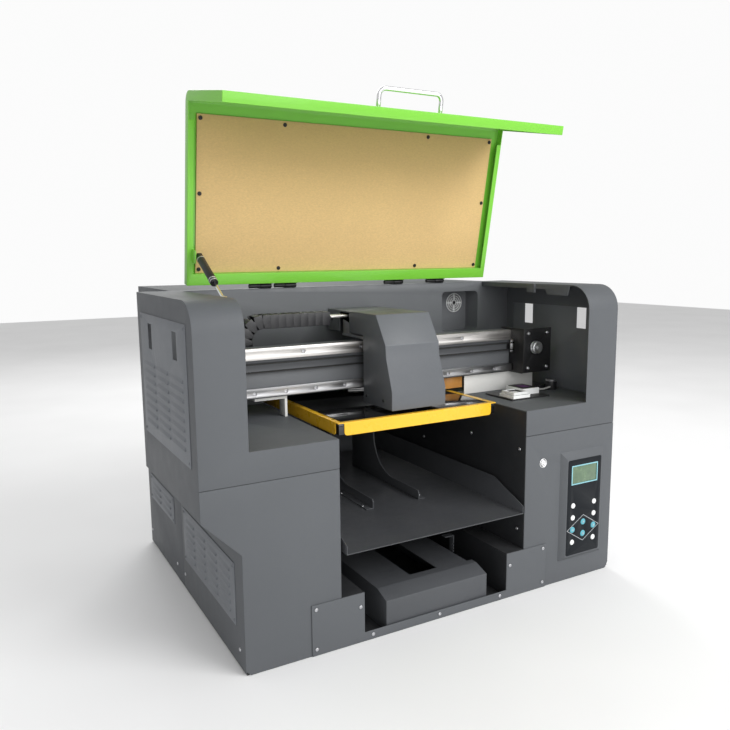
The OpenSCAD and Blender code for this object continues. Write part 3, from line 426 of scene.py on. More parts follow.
def make_materials():
    c = bpy.context.scene.printer_colours
    shell, vents, cover = tuple(c.shell), tuple(c.vents), tuple(c.cover)
    MATERIALS.update({
        "shell": painted("Cabinet powder coat", shell, 0.55, 0.03, 0.06, 1300.0, 0.4, 0.0,
                         0.03, 0.22),
        "vents": painted("Vent plate paint", vents, 0.5, 0.03, 0.06, 1300.0, 0.3, 0.0, 0.03,
                         0.22),
        "cover": painted("Carriage cover paint", cover, 0.4, 0.06, 0.1, 1200.0, 0.35),
        "wall": painted("Inner wall paint", (0.12, 0.126, 0.134), 0.45, 0.03, 0.1),
        "nose": painted("Drive housing paint", (0.072, 0.076, 0.083), 0.5, 0.04, 0.06),
        "deck": painted("Deck paint", (0.064, 0.067, 0.073), 0.36, 0.1, 0.1, 1100.0, 0.3),
        "liner": painted("Liner paint", (0.02, 0.021, 0.023), 0.5, 0.12, 0.1),
        "black": painted("Black part paint", (0.014, 0.014, 0.015), 0.38, 0.12, 0.12),
        "lid": painted("Lid green paint", tuple(c.lid), 0.32, 0.015, 0.0, 900.0, 0.14,
                       0.25, 0.02),
        "yellow": painted("Bed frame paint", tuple(c.bed), 0.3, 0.05, 0.03, 800.0, 0.2,
                          0.25),
        "white_paint": painted("White bracket paint", (0.74, 0.74, 0.72), 0.4, 0.05, 0.05),
        "steel": metal("Brushed steel", (0.66, 0.64, 0.62), 0.42),
        "rail": metal("Ground rail steel", (0.5, 0.5, 0.51), 0.32,
                      (8.0, 900.0, 900.0), 0.08),
        "aluminium": metal("Milled aluminium", (0.66, 0.67, 0.68), 0.34,
                           (90.0, 90.0, 90.0), 0.1),
        "zinc": metal("Zinc-plated screws", (0.6, 0.6, 0.62), 0.3, (400.0, 400.0, 400.0),
                      0.1),
        "chrome": glossy("Polished chrome", (0.86, 0.86, 0.87), 0.07, 0.12, 1.0),
        "plastic": glossy("Black moulded plastic", (0.016, 0.016, 0.018), 0.42, 0.12, 0.0,
                          0.0, 0.14, 0.12),
        "white": glossy("White moulded plastic", (0.8, 0.81, 0.81), 0.32, 0.1),
        "blue": glossy("Blue key plastic", (0.1, 0.38, 0.46), 0.34, 0.12),
        "panel": glossy("Keypad overlay", (0.008, 0.01, 0.013), 0.4, 0.1, shine=0.16),
        "line": glossy("Pale print line", (0.4, 0.42, 0.44), 0.4, 0.08),
        "frame_blue": glossy("Screen frame", (0.24, 0.5, 0.56), 0.35, 0.1),
        "glass": glossy("Black bed glass", (0.006, 0.006, 0.007), 0.06, 0.08, 0.0, 0.5,
                        0.03),
        "rubber": glossy("Black rubber", (0.018, 0.018, 0.018), 0.68, 0.1, 0.0, 0.0, 0.1),
        "purple": glossy("Ink-stained foam", (0.09, 0.03, 0.11), 0.7, 0.12),
        "brass": metal("Brass pins", (0.72, 0.5, 0.2), 0.25, (300.0, 300.0, 300.0)),
        "tube": glossy("Clear ink tube", (0.5, 0.5, 0.48), 0.2, 0.1),
        "board": board_material("Lid lining board", tuple(c.board)),
        "screen": screen_material("Green display"),
        "amber": amber_material("Amber guard plastic"),
    })


# ------------------------------------------------------------ modelling helpers

def fresh():
    """Object mode with nothing selected."""
    if bpy.context.object and bpy.context.object.mode != "OBJECT":
        bpy.ops.object.mode_set(mode="OBJECT")
    bpy.ops.object.select_all(action="DESELECT")


def only(obj):
    fresh()
    obj.select_set(True)
    bpy.context.view_layer.objects.active = obj
    return obj


def settle(obj, name):
    """Names a new piece and puts its place, turn and scale into its mesh."""
    only(obj)
    bpy.ops.object.transform_apply(location=True, rotation=True, scale=True)
    obj.name = name
    obj.data.name = name
    return obj


def edit(obj):
    only(obj)
    bpy.ops.object.mode_set(mode="EDIT")


def leave():
    bpy.ops.object.mode_set(mode="OBJECT")


def pick_faces(obj, test):
    """Selects the faces whose centre and normal pass the test, in edit mode."""
    bpy.ops.mesh.select_mode(type="FACE")
    bpy.ops.mesh.select_all(action="DESELECT")
    bm = bmesh.from_edit_mesh(obj.data)
    for face in bm.faces:
        face.select_set(bool(test(face.calc_center_median(), face.normal)))
    bmesh.update_edit_mesh(obj.data)


def soften(obj, width, segments=2, angle=30.0):
    """Rounds the sharp edges of a piece."""
    only(obj)
    mod = obj.modifiers.new("Rounded edges", "BEVEL")
    mod.width = width
    mod.segments = segments
    mod.limit_method = "ANGLE"
    mod.angle_limit = math.radians(angle)
    mod.use_clamp_overlap = True
    mod.harden_normals = False
    bpy.ops.object.modifier_apply(modifier=mod.name)
    return obj


def block(name, low, high, edge=0.0005, segments=2):
    """A block between two corners, with its edges rounded."""
    fresh()
    centre = middle(low, high)
    size = [b - a for a, b in zip(low, high)]
    bpy.ops.mesh.primitive_cube_add(size=1, location=centre, scale=size)
    obj = settle(bpy.context.object, name)
    edit(obj)
    bpy.ops.mesh.select_all(action="SELECT")
    bpy.ops.mesh.bevel(offset=min(edge, min(size) * 0.4), segments=segments,
                       affect="EDGES")
    leave()
    return obj


def turned(name, rings, base, direction, sides=40):
    """A turned part: rings of (radius, height) along a direction from its base."""
    fresh()
    radius, height = rings[0]
    bpy.ops.mesh.primitive_circle_add(vertices=sides, radius=radius, fill_type="NGON",
                                      location=(0, 0, height))
    obj = settle(bpy.context.object, name)
    edit(obj)
    bpy.ops.mesh.select_mode(type="FACE")
    bpy.ops.mesh.select_all(action="SELECT")
    for next_radius, next_height in rings[1:]:
        bpy.ops.mesh.extrude_region_move(
            TRANSFORM_OT_translate={"value": (0, 0, next_height - height)})
        ratio = next_radius / radius
        bpy.ops.transform.resize(value=(ratio, ratio, 1.0),
                                 center_override=(0, 0, next_height))
        radius, height = next_radius, next_height
    bpy.ops.mesh.select_all(action="SELECT")
    bpy.ops.mesh.normals_make_consistent(inside=False)
    leave()
    obj.rotation_euler = Vector(direction).to_track_quat("Z", "Y").to_euler()
    obj.location = base
    return settle(obj, name)


def hoop(name, centre, direction, major, minor, sides=48, around=12):
    fresh()
    turn = Vector(direction).to_track_quat("Z", "Y").to_euler()
    bpy.ops.mesh.primitive_torus_add(location=centre, rotation=turn, major_radius=major,
                                     minor_radius=minor, major_segments=sides,
                                     minor_segments=around)
    return settle(bpy.context.object, name)


def move(obj, matrix):
    obj.data.transform(matrix)
    if matrix.determinant() < 0:
        obj.data.flip_normals()
    obj.data.update()
    return obj


def join(name, objs):
    fresh()
    for obj in objs:
        obj.select_set(True)
    bpy.context.view_layer.objects.active = objs[0]
    if len(objs) > 1:
        bpy.ops.object.join()
    obj = bpy.context.object
    obj.name = name
    obj.data.name = name
    return obj


def copies(name, obj, matrices):
    """Places a copy of a piece, each with its own mesh, at every matrix and joins them."""
    made = []
    for matrix in matrices:
        twin = obj.copy()
        twin.data = obj.data.copy()
        bpy.context.collection.objects.link(twin)
        made.append(move(twin, matrix))
    bpy.data.objects.remove(obj)
    return join(name, made)


def to_mesh(obj, name):
    only(obj)
    bpy.ops.object.convert(target="MESH")
    return settle(bpy.context.object, name)


def tube(name, points, radius, sides=4, steps=8):
    """A round tube along smooth points, closed at both ends."""
    fresh()
    curve = bpy.data.curves.new(name, "CURVE")
    curve.dimensions = "3D"
    curve.bevel_depth = radius
    curve.bevel_resolution = sides
    curve.resolution_u = steps
    curve.use_fill_caps = True
    spline = curve.splines.new("NURBS")
    spline.points.add(len(points) - 1)
    for point, place in zip(spline.points, points):
        point.co = (*place, 1.0)
    spline.use_endpoint_u = True
    spline.order_u = 3
    obj = bpy.data.objects.new(name, curve)
    bpy.context.collection.objects.link(obj)
    return to_mesh(obj, name)


def dress(obj, body, material, smooth=35.0, replaces=()):
    """Gives a finished piece its material and smoothing, and puts it on its body."""
    only(obj)
    if material:
        obj.data.materials.clear()
        obj.data.materials.append(MATERIALS[material])
    bpy.ops.object.shade_smooth_by_angle(angle=math.radians(smooth))
    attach(obj, body)
    if replaces:
        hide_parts(*replaces)
    return obj


def middle(low, high):
    """The point half way between two corners."""
    return [(a + b) / 2 for a, b in zip(low, high)]


def zinc_set(name, head, places, body="machine", replaces=()):
    """Copies of one zinc-plated head at every place."""
    return dress(copies(name, head, places), body, "zinc",
                 replaces=replaces)


def steps_to(start, stop, pitch):
    """Even steps from a start up to a stop."""
    found = []
    while start < stop:
        found.append(start)
        start += pitch
    return found


def body_of(node):
    for name, nodes in frame["record"]["behaviour"]["bodies"].items():
        if node in nodes:
            return name
    raise RuntimeError("no body holds " + node)


def merged_copy(node, name):
    """A copy of a CAD node's mesh with its doubles merged and flat areas made whole."""
    source = frame["nodes"][node]
    fresh()
    obj = bpy.data.objects.new(name, source.data.copy())
    bpy.context.collection.objects.link(obj)
    edit(obj)
    bpy.ops.mesh.select_all(action="SELECT")
    bpy.ops.mesh.remove_doubles(threshold=0.00001)
    bpy.ops.mesh.dissolve_limited(angle_limit=math.radians(0.8))
    leave()
    return obj


def finished_node(node, material, edge, segments=2, smooth=35.0, angle=32.0):
    """A CAD node's shape with folded or machined edges, standing for that node."""
    obj = merged_copy(node, node + "_finished")
    soften(obj, edge, segments, angle)
    return dress(obj, body_of(node), material, smooth, (node,))


def islands(node):
    """Centre, low and high corner of each separate solid in a CAD node."""
    obj = merged_copy(node, "scratch")
    bm = bmesh.new()
    bm.from_mesh(obj.data)
    seen, found = set(), []
    for vert in bm.verts:
        if vert in seen:
            continue
        stack, part = [vert], []
        seen.add(vert)
        while stack:
            here = stack.pop()
            part.append(here.co.copy())
            for link in here.link_edges:
                other = link.other_vert(here)
                if other not in seen:
                    seen.add(other)
                    stack.append(other)
        low = Vector([min(p[i] for p in part) for i in range(3)])
        high = Vector([max(p[i] for p in part) for i in range(3)])
        found.append(((low + high) / 2, low, high))
    bm.free()
    bpy.data.objects.remove(obj)
    return sorted(found, key=lambda f: (round(f[0].x, 4), round(f[0].y, 4), f[0].z))


def facing(place, direction):
    """The matrix that stands a part drawn along +Z on a place, towards a direction."""
    return Matrix.Translation(place) @ Vector(direction).to_track_quat(
        "Z", "Y").to_matrix().to_4x4()


def cap_screw(radius, height):
    """A button-head screw with a driven recess, drawn along +Z."""
    r, h = radius, height
    return turned("screw", ((r * 0.94, 0), (r, h * 0.12), (r, h * 0.35),
                            (r * 0.86, h * 0.8), (r * 0.66, h), (r * 0.46, h),
                            (r * 0.42, h * 0.35)), (0, 0, 0), (0, 0, 1), 18)


def lid_point(x, y, z):
    """A point of the closed lid, counted from its hinge line, in the lid's open place."""
    return LID_TURN @ Vector((x, y, z))


# ------------------------------------------------------------ cabinet

class UVPRINTER_OT_cabinet(bpy.types.Operator):
    """Folded and powder-coated shells of the cabinet"""
    bl_idname = "uvprinter.cabinet"
    bl_label = "Cabinet shells"

    def execute(self, context):
        fold = context.scene.printer_sizes.fold
        for node in ("left_lower_shell", "right_lower_shell", "left_upper_cover",
                     "right_upper_cover", "rear_body", "rear_panel", "front_skirt"):
            finished_node(node, "shell", fold, 3, 40.0)
        finished_node("interior_back_wall", "wall", fold, 3, 40.0)
        finished_node("drive_housing", "nose", fold, 3, 20.0, 14.0)
        for node in ("tower_liners", "rail_boxes", "base_pan"):
            finished_node(node, "liner", fold * 0.8, 2)
        return {"FINISHED"}


class UVPRINTER_OT_seams(bpy.types.Operator):
    """Dark strips in the cabinet's seams, painted shade for the gaps between the panels"""
    bl_idname = "uvprinter.seams"
    bl_label = "Seam shade strips"

    def execute(self, context):
        # Painted shade: black strips along the seams stand in for the shade in the gaps.
        shade_strips = []
        low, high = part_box("left_lower_shell")
        seam = high[2] + 0.0004
        for x0, x1 in ((low[0] + 0.003, -0.2), (0.2, -low[0] - 0.003)):
            shade_strips.append(block("strip", (x0, low[1] + 0.0022, seam - 0.003),
                                (x1, low[1] + 0.0034, seam + 0.003), 0.0003))
        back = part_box("left_upper_cover")[1][1]
        for side in (-1, 1):
            x = side * 0.3655
            shade_strips.append(block("strip", (x - 0.0012, back - 0.004, 0.006),
                                (x + 0.0012, back - 0.0005, 0.3), 0.0003))
        dress(join("seam_shade_strips", shade_strips), "machine", "rubber")
        return {"FINISHED"}


class UVPRINTER_OT_vents(bpy.types.Operator):
    """Painted vent plates with pressed louvres, each with a rolled lip"""
    bl_idname = "uvprinter.vents"
    bl_label = "Vent plates"

    def execute(self, context):
        finished_node("side_vents", "vents", 0.0005, 2, 45.0, 25.0)
        places = []
        for centre, low, high in islands("side_vents"):
            x = low.x if centre.x < 0 else high.x
            for y in (low.y + 0.007, high.y - 0.007):
                for z in (low.z + 0.007, high.z - 0.007):
                    plate = x + (0.0025 if centre.x < 0 else -0.0025)
                    places.append(facing(Vector((plate, y, z)),
                                         (-1 if centre.x < 0 else 1, 0, 0)))
        head = cap_screw(0.0028, 0.0012)
        rivets = copies("vent_rivets", head, places)
        dress(rivets, "machine", "vents")
        return {"FINISHED"}


class UVPRINTER_OT_screws(bpy.types.Operator):
    """Button-head screws of the cabinet, with their recesses"""
    bl_idname = "uvprinter.screws"
    bl_label = "Cabinet screws"

    def execute(self, context):
        places = []
        for centre, low, high in islands("cabinet_screws"):
            size = high - low
            if size.y < size.x and size.y < size.z:
                places.append(facing(Vector((centre.x, high.y, centre.z)), (0, -1, 0)))
            elif centre.x < -0.3:
                places.append(facing(Vector((high.x, centre.y, centre.z)), (-1, 0, 0)))
            else:
                side = -1 if centre.x > 0 else 1
                x = high.x if side < 0 else low.x
                places.append(facing(Vector((x, centre.y, centre.z)), (side, 0, 0)))
        zinc_set("cabinet_screw_heads", cap_screw(0.0033, 0.0016), places,
                 replaces=("cabinet_screws",))
        return {"FINISHED"}


class UVPRINTER_OT_fan(bpy.types.Operator):
    """Fan recess with a ring guard, a hub and pitched blades"""
    bl_idname = "uvprinter.fan"
    bl_label = "Cooling fan"

    def execute(self, context):
        finished_node("fan_box", "wall", 0.0008, 3, 45.0)
        low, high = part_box("fan_grille")
        x, _, z = middle(low, high)
        y = low[1] + 0.0011
        wires = [hoop("wire", (x, y, z), (0, 1, 0), r, 0.001)
                 for r in (0.006, 0.011, 0.016, 0.021)]
        for angle in (0, 90, 180, 270):
            turn = Matrix.Rotation(math.radians(angle), 4, "Y")
            spoke = block("spoke", (-0.0012, -0.0009, 0.005), (0.0012, 0.0009, 0.0218),
                          0.0003)
            wires.append(move(spoke, Matrix.Translation((x, y, z)) @ turn))
        guard = join("fan_guard", wires)
        dress(guard, "machine", "white", replaces=("fan_grille",))
        low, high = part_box("fan_rotor")
        hub_mid = Vector((x, middle(low, high)[1], z))
        hub = turned("hub", ((0.0076, 0), (0.008, 0.0006), (0.008, 0.0074), (0.0072, 0.0085),
                             (0.0028, 0.0088)), (x, low[1] + 0.0088, z), (0, -1, 0), 36)
        blade = block("blade", (0.0065, -0.0028, -0.0042), (0.0185, -0.0018, 0.0042), 0.0004)
        move(blade, Matrix.Rotation(math.radians(28), 4, "X"))
        turns = [Matrix.Translation(hub_mid)
                 @ Matrix.Rotation(i * math.tau / FAN_BLADES, 4, "Y")
                 for i in range(FAN_BLADES)]
        rotor = join("fan_wheel", [hub, copies("blades", blade, turns)])
        dress(rotor, "fan_rotor", "plastic", replaces=("fan_rotor",))
        return {"FINISHED"}


class UVPRINTER_OT_inlet(bpy.types.Operator):
    """Mains inlet pins and its shroud lip"""
    bl_idname = "uvprinter.inlet"
    bl_label = "Mains inlet"

    def execute(self, context):
        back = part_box("rear_panel")[1][1]
        x, z = INLET_X, INLET_Z
        parts = []
        for low, high in (((-0.016, 0.0095), (0.016, 0.0135)),
                          ((-0.016, -0.0135), (0.016, -0.0095)),
                          ((-0.016, -0.0095), (-0.0112, 0.0095)),
                          ((0.0112, -0.0095), (0.016, 0.0095))):
            parts.append(block("lip", (x + low[0], back - 0.0014, z + low[1]),
                               (x + high[0], back - 0.0001, z + high[1]), 0.0004))
        dress(join("inlet_shroud", parts), "machine", "plastic")
        pin = block("pin", (-0.0011, -0.0145, -0.0031), (0.0011, -0.004, 0.0031), 0.0005)
        spots = [Matrix.Translation((x + dx, back, z)) for dx in (-0.006, 0, 0.006)]
        dress(copies("inlet_pins", pin, spots), "machine", "brass")
        return {"FINISHED"}


# ------------------------------------------------------------ beam

class UVPRINTER_OT_beam(bpy.types.Operator):
    """Cross beam with its ground bar, rail, feet, guard and end plates"""
    bl_idname = "uvprinter.beam"
    bl_label = "Cross beam"

    def execute(self, context):
        sizes = context.scene.printer_sizes
        finished_node("beam", "wall", sizes.casting)
        finished_node("beam_steel_bar", "steel", sizes.casting)
        finished_node("linear_rail", "rail", 0.0004)
        finished_node("beam_feet", "white_paint", 0.0004)
        finished_node("amber_guard", "amber", 0.0006)
        finished_node("beam_brackets", "black", sizes.casting)
        low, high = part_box("linear_rail")
        z = middle(low, high)[2]
        places = [facing(Vector((x, low[1] + 0.005, z)), (0, -1, 0))
                  for x in steps_to(RAIL_FIRST, high[0] - 0.008, sizes.rail_pitch)]
        bolt = turned("bolt", ((0.0033, 0), (0.0035, 0.0003), (0.0035, 0.003),
                               (0.0031, 0.0034), (0.0018, 0.0034), (0.0017, 0.001)),
                      (0, 0, 0), (0, 0, 1), 18)
        zinc_set("rail_bolts", bolt, places)
        low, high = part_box("beam_steel_bar")
        z = middle(low, high)[2]
        places = [facing(Vector((x, low[1] + 0.0031, z)), (0, -1, 0))
                  for x in steps_to(BAR_FIRST, high[0] - 0.03, BAR_PITCH)]
        head = turned("head", ((0.0034, 0), (0.0036, 0.0003), (0.0036, 0.0025),
                               (0.0031, 0.003), (0.0019, 0.003), (0.0018, 0.0008)),
                      (0, 0, 0), (0, 0, 1), 18)
        zinc_set("bar_bolts", head, places)
        low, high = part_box("beam_brackets")
        places = [facing(Vector((x, low[1], z)), (0, -1, 0))
                  for x in (0.332, 0.384) for z in (0.412, 0.486)]
        zinc_set("bracket_bolts", cap_screw(0.0042, 0.003), places)
        return {"FINISHED"}


class UVPRINTER_OT_belt(bpy.types.Operator):
    """Toothed belt round its two pulleys"""
    bl_idname = "uvprinter.belt"
    bl_label = "Drive belt"

    def execute(self, context):
        loop = merged_copy("belt", "belt_loop")
        soften(loop, 0.0002, 1)
        low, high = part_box("belt")
        z = middle(low, high)[2]
        half = (high[2] - low[2]) / 2 - 0.0014
        pitch = context.scene.printer_sizes.tooth_pitch
        count = int((high[0] - low[0] - 0.03) / pitch)
        tooth = block("tooth", (-0.0012, low[1] + 0.0005, -0.0008),
                      (0.0012, high[1] - 0.0005, 0.0002), 0.0003, 1)
        spots = []
        for i in range(count):
            x = low[0] + 0.016 + i * pitch
            spots.append(Matrix.Translation((x, 0, z + half)))
            spots.append(Matrix.Translation((x, 0, z - half))
                         @ Matrix.Diagonal((1, 1, -1, 1)))
        belt = join("toothed_belt", [loop, copies("teeth", tooth, spots)])
        dress(belt, "machine", "rubber", replaces=("belt",))
        return {"FINISHED"}


class UVPRINTER_OT_pulleys(bpy.types.Operator):
    """Drive pulley with its knurled knob, the idler pulley and the carriage motor"""
    bl_idname = "uvprinter.pulleys"
    bl_label = "Pulleys and motor"

    def execute(self, context):
        low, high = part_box("drive_pulley")
        x, _, z = middle(low, high)
        knob = turned("knob", ((0.0115, 0), (0.013, 0.0012), (0.013, 0.0036), (0.01, 0.0042),
                               (0.01, 0.0068), (0.0134, 0.0074), (0.014, 0.0082),
                               (0.014, 0.0104), (0.0132, 0.011), (0.004, 0.0111),
                               (0.004, 0.047)), (x, low[1], z), (0, 1, 0), 56)
        edit(knob)
        pick_faces(knob, lambda c, n: abs(n.y) < 0.2 and c.y < low[1] + 0.0038
                   and c.y > low[1] + 0.001 and int(math.atan2(c.z - z, c.x - x) / math.tau
                                                    * 56 + 56.01) % 2 == 0)
        bpy.ops.mesh.inset(thickness=0.0002, depth=-0.0005, use_individual=True)
        leave()
        wheel = turned("wheel", ((0.004, 0), (0.0064, 0.0002), (0.0064, 0.0102),
                                 (0.003, 0.0106)), (x, FRONT + 0.187, z), (0, 1, 0), 40)
        face = turned("face", ((0.0018, 0), (0.0042, 0.0004), (0.0046, 0.0016)),
                      (x, low[1] - 0.0012, z), (0, 1, 0), 24)
        drive = join("drive_wheel", [knob, wheel, face])
        dress(drive, "drive_pulley", "aluminium", replaces=("drive_pulley",))
        finished_node("idler_pulley", "aluminium", 0.0004)
        low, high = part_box("carriage_motor")
        body = block("motor", (low[0], low[1] + 0.009, low[2]),
                     (high[0], high[1] - 0.009, high[2]), 0.004, 1)
        ends = [block("end", (low[0] + 0.0002, a, low[2] + 0.0002),
                      (high[0] - 0.0002, b, high[2] - 0.0002), 0.0042, 1)
                for a, b in ((low[1], low[1] + 0.0092), (high[1] - 0.0092, high[1]))]
        dress(join("motor_ends", ends), "machine", "aluminium")
        dress(body, "machine", "black", replaces=("carriage_motor",))
        return {"FINISHED"}


# ------------------------------------------------------------ carriage

class UVPRINTER_OT_carriage(bpy.types.Operator):
    """Folded carriage cover with its screws, plate, print head and lamp"""
    bl_idname = "uvprinter.carriage"
    bl_label = "Print carriage"

    def execute(self, context):
        sizes = context.scene.printer_sizes
        finished_node("carriage_cover", "cover", sizes.cover_fold, 3, 50.0, 20.0)
        finished_node("carriage_plate", "aluminium", sizes.casting)
        finished_node("print_head", "plastic", 0.0008)
        finished_node("uv_lamp", "aluminium", 0.0004)
        low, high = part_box("carriage_cover")
        places = []
        for side in (-1, 1):
            x = side * high[0]
            for y, z in ((low[1] + 0.03, low[2] + 0.014), (low[1] + 0.092, low[2] + 0.014),
                         (high[1] - 0.02, high[2] - 0.02)):
                places.append(facing(Vector((x, y, z)), (side, 0, 0)))
        dress(copies("cover_screws", cap_screw(0.003, 0.0016), places), "carriage",
              "black")
        low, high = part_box("print_head")
        rows = []
        for i in range(4):
            x = -0.0075 + i * 0.0082
            rows.append(block("row", (x - 0.0012, low[1] + 0.014, low[2] - 0.0004),
                              (x + 0.0012, high[1] - 0.016, low[2] + 0.001), 0.0003))
        dress(join("nozzle_rows", rows), "carriage", "chrome")
        fittings = [turned("fitting", ((0.003, 0), (0.0034, 0.0008), (0.0034, 0.004),
                                       (0.002, 0.0046), (0.002, 0.009)),
                           (-0.0145 + 0.0125 * i, low[1] + 0.02, high[2] - 0.0005),
                           (0, 0, 1), 16) for i in range(4)]
        dress(join("ink_fittings", fittings), "carriage", "white")
        return {"FINISHED"}


class UVPRINTER_OT_chain(bpy.types.Operator):
    """Cable chain of separate links with side plates and cross bars"""
    bl_idname = "uvprinter.chain"
    bl_label = "Cable chain"

    def execute(self, context):
        low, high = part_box("cable_chain")
        y0, y1 = low[1], high[1]
        width, tall = y1 - y0, CHAIN_HEIGHT
        pitch = context.scene.printer_sizes.link_pitch
        level = CHAIN_TOP - tall / 2
        bend_x, bend_r = -0.232, 0.022 + tall / 2
        centre_z = level - bend_r
        parts = []
        for y in (0.0012, width - 0.0012):
            plate = block("plate", (-0.0094, y - 0.0012, -tall / 2 + 0.0004),
                          (0.0074, y + 0.0012, tall / 2 - 0.0004), 0.0009, 2)
            parts.append(plate)
            outer = 0.0002 if y < width / 2 else width - 0.0014
            parts.append(turned("boss", ((0.0052, 0), (0.0058, 0.0004), (0.0058, 0.0009),
                                         (0.004, 0.0012)), (0.0048, outer, 0), (0, 1, 0),
                                20))
        for z in (-tall / 2 + 0.0012, tall / 2 - 0.0012):
            parts.append(block("bar", (-0.0062, 0.001, z - 0.0012),
                               (0.0052, width - 0.001, z + 0.0012), 0.0008, 2))
        parts.append(block("web", (-0.0012, 0.002, -tall / 2 + 0.002),
                           (0.0004, width - 0.002, tall / 2 - 0.002), 0.0003, 1))
        link = join("link", parts)
        places = []
        x = -0.1045
        while x > bend_x:
            places.append(Matrix.Translation((x, y0, level)))
            x -= pitch
        for i in range(BEND_LINKS):
            angle = math.radians(90 + (i + 0.5) * 180 / BEND_LINKS)
            spot = (bend_x + bend_r * math.cos(angle), y0,
                    centre_z + bend_r * math.sin(angle))
            places.append(Matrix.Translation(spot)
                          @ Matrix.Rotation(-(angle - math.pi / 2), 4, "Y"))
        for i in range(4):
            places.append(Matrix.Translation((bend_x + pitch * (i + 0.5), y0,
                                              centre_z - bend_r)))
        chain = copies("chain_links", link, places)
        arm = [block("arm", (-0.099, y0 + 0.002, 0.5355), (-0.048, y1 - 0.002, 0.5395),
                     0.0006),
               block("leg", (-0.053, y0 + 0.002, 0.5018), (-0.048, y1 - 0.002, 0.5357),
                     0.0006)]
        dress(join("chain_arm", arm), "carriage", "steel")
        dress(chain, "carriage", "plastic", replaces=("cable_chain",))
        return {"FINISHED"}


# ------------------------------------------------------------ capping station

class UVPRINTER_OT_capping(bpy.types.Operator):
    """Capping station: tray, pump block with stained foam, cap with its rubber rim"""
    bl_idname = "uvprinter.capping"
    bl_label = "Capping station"

    def execute(self, context):
        base = finished_node("cap_base", "plastic", 0.0007, 3)
        finished_node("cap_pad", "white", 0.0007, 3)
        low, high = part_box("cap_pad")
        base.data.materials.append(MATERIALS["white"])
        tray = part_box("cap_base")[0][2] + 0.0032
        for face in base.data.polygons:
            if face.center.z > tray and face.center.x < 0.37:
                face.material_index = 1
        x, y, _ = middle(low, high)
        rim = []
        for angle in range(4):
            bar = block("rim", (-0.0132, 0.0108, -0.0012), (0.0132, 0.0132, 0.0012), 0.0005)
            rim.append(move(bar, Matrix.Translation((x, y, high[2] - 0.0021))
                            @ Matrix.Rotation(angle * math.pi / 2, 4, "Z")))
        dress(join("cap_seal", rim), "cap_pad", "rubber")
        px, py, top = PUMP_X, PUMP_Y, PUMP_TOP
        cover = block("pump_cover", (px - 0.02, py - 0.024, top - 0.0035),
                      (px + 0.02, py + 0.024, top + 0.0006), 0.0006, 3)
        dress(cover, "machine", "black")
        foam = block("wiper_foam", (px - 0.01, py - 0.012, top + 0.0003),
                     (px + 0.01, py + 0.012, top + 0.0012), 0.0003, 2)
        dress(foam, "machine", "purple")
        cup = turned("motor_cup", ((0.0121, 0), (0.0123, 0.0008), (0.0123, 0.004)),
                     (0.397, FRONT + 0.146, 0.379), (0, 0, 1), 36)
        dress(cup, "machine", "zinc")
        line = tube("pump_tube", [(px + 0.017, py, 0.369), (px + 0.03, py + 0.006, 0.368),
                                  (px + 0.045, py - 0.004, 0.3655),
                                  (px + 0.066, py - 0.002, 0.3655),
                                  (px + 0.078, py - 0.001, 0.368)], 0.002)
        dress(line, "machine", "tube", 60)
        return {"FINISHED"}


# ------------------------------------------------------------ table

class UVPRINTER_OT_table(bpy.types.Operator):
    """Deck, ribs, lift column and the black bed in its yellow frame"""
    bl_idname = "uvprinter.table"
    bl_label = "Table"

    def execute(self, context):
        sizes = context.scene.printer_sizes
        finished_node("table_slide_block", "wall", sizes.casting)
        finished_node("deck", "deck", 0.0005)
        finished_node("deck_ribs", "deck", 0.0006)
        finished_node("bed_plate", "glass", 0.0006, 3)
        finished_node("bed_frame", "yellow", 0.0005, 3)
        low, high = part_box("deck_ribs")
        top = 0.167
        places = []
        for x in (low[0] + 0.008, high[0] - 0.008):
            for y in (low[1] + 0.02, low[1] + 0.11, low[1] + 0.2, high[1] - 0.02):
                places.append(facing(Vector((x, y, top)), (0, 0, 1)))
        zinc_set("rib_screws", cap_screw(0.003, 0.0018), places, "table")
        low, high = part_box("bed_plate")
        stops = []
        for side in (-1, 1):
            for y in (low[1] + 0.03, high[1] - 0.03):
                stops.append(facing(Vector((side * (high[0] - 0.004), y, high[2] + 0.0003)),
                                    (0, 0, 1)))
        head = turned("head", ((0.0026, -0.0012), (0.0026, -0.0002), (0.0022, 0.0001),
                               (0.0012, 0.0001), (0.0011, -0.0007)), (0, 0, 0), (0, 0, 1),
                      18)
        dress(copies("frame_screws", head, stops), "table", "black")
        return {"FINISHED"}


# ------------------------------------------------------------ lid

class UVPRINTER_OT_lid(bpy.types.Operator):
    """Green lid with its lining board, screws, bow handle and hinges"""
    bl_idname = "uvprinter.lid"
    bl_label = "Lid"

    def execute(self, context):
        finished_node("lid_shell", "lid", 0.0006, 3, 40.0)
        finished_node("lid_panel", "board", 0.0005)
        finished_node("lid_handle", "chrome", 0.0003, 2, 60.0)
        finished_node("lid_hinges", "black", 0.0003)
        finished_node("hinge_bases", "black", 0.0003)
        inward = LID_TURN.to_3x3() @ Vector((0, 0, -1))
        outward = -inward
        head = turned("head", ((0.0036, 0), (0.0039, 0.0003), (0.0039, 0.0008),
                               (0.0032, 0.0018), (0.002, 0.002), (0.0016, 0.002),
                               (0.0014, 0.0008)), (0, 0, 0), (0, 0, 1), 20)
        places = [facing(centre + outward * 0.001, inward)
                  for centre, _, _ in islands("lid_screws")]
        dress(copies("lining_screws", head, places), "lid", "black",
              replaces=("lid_screws",))
        feet = []
        for x in (-FOOT_X, FOOT_X):
            base = lid_point(x, FOOT_Y, FOOT_Z)
            away = LID_TURN.to_3x3() @ Vector((0, -1, 0))
            feet.append(turned("foot", ((0.0074, 0), (0.0076, 0.0006), (0.0066, 0.0016),
                                        (0.0046, 0.002)), base, away, 32))
        dress(join("handle_feet", feet), "lid", "chrome")
        return {"FINISHED"}


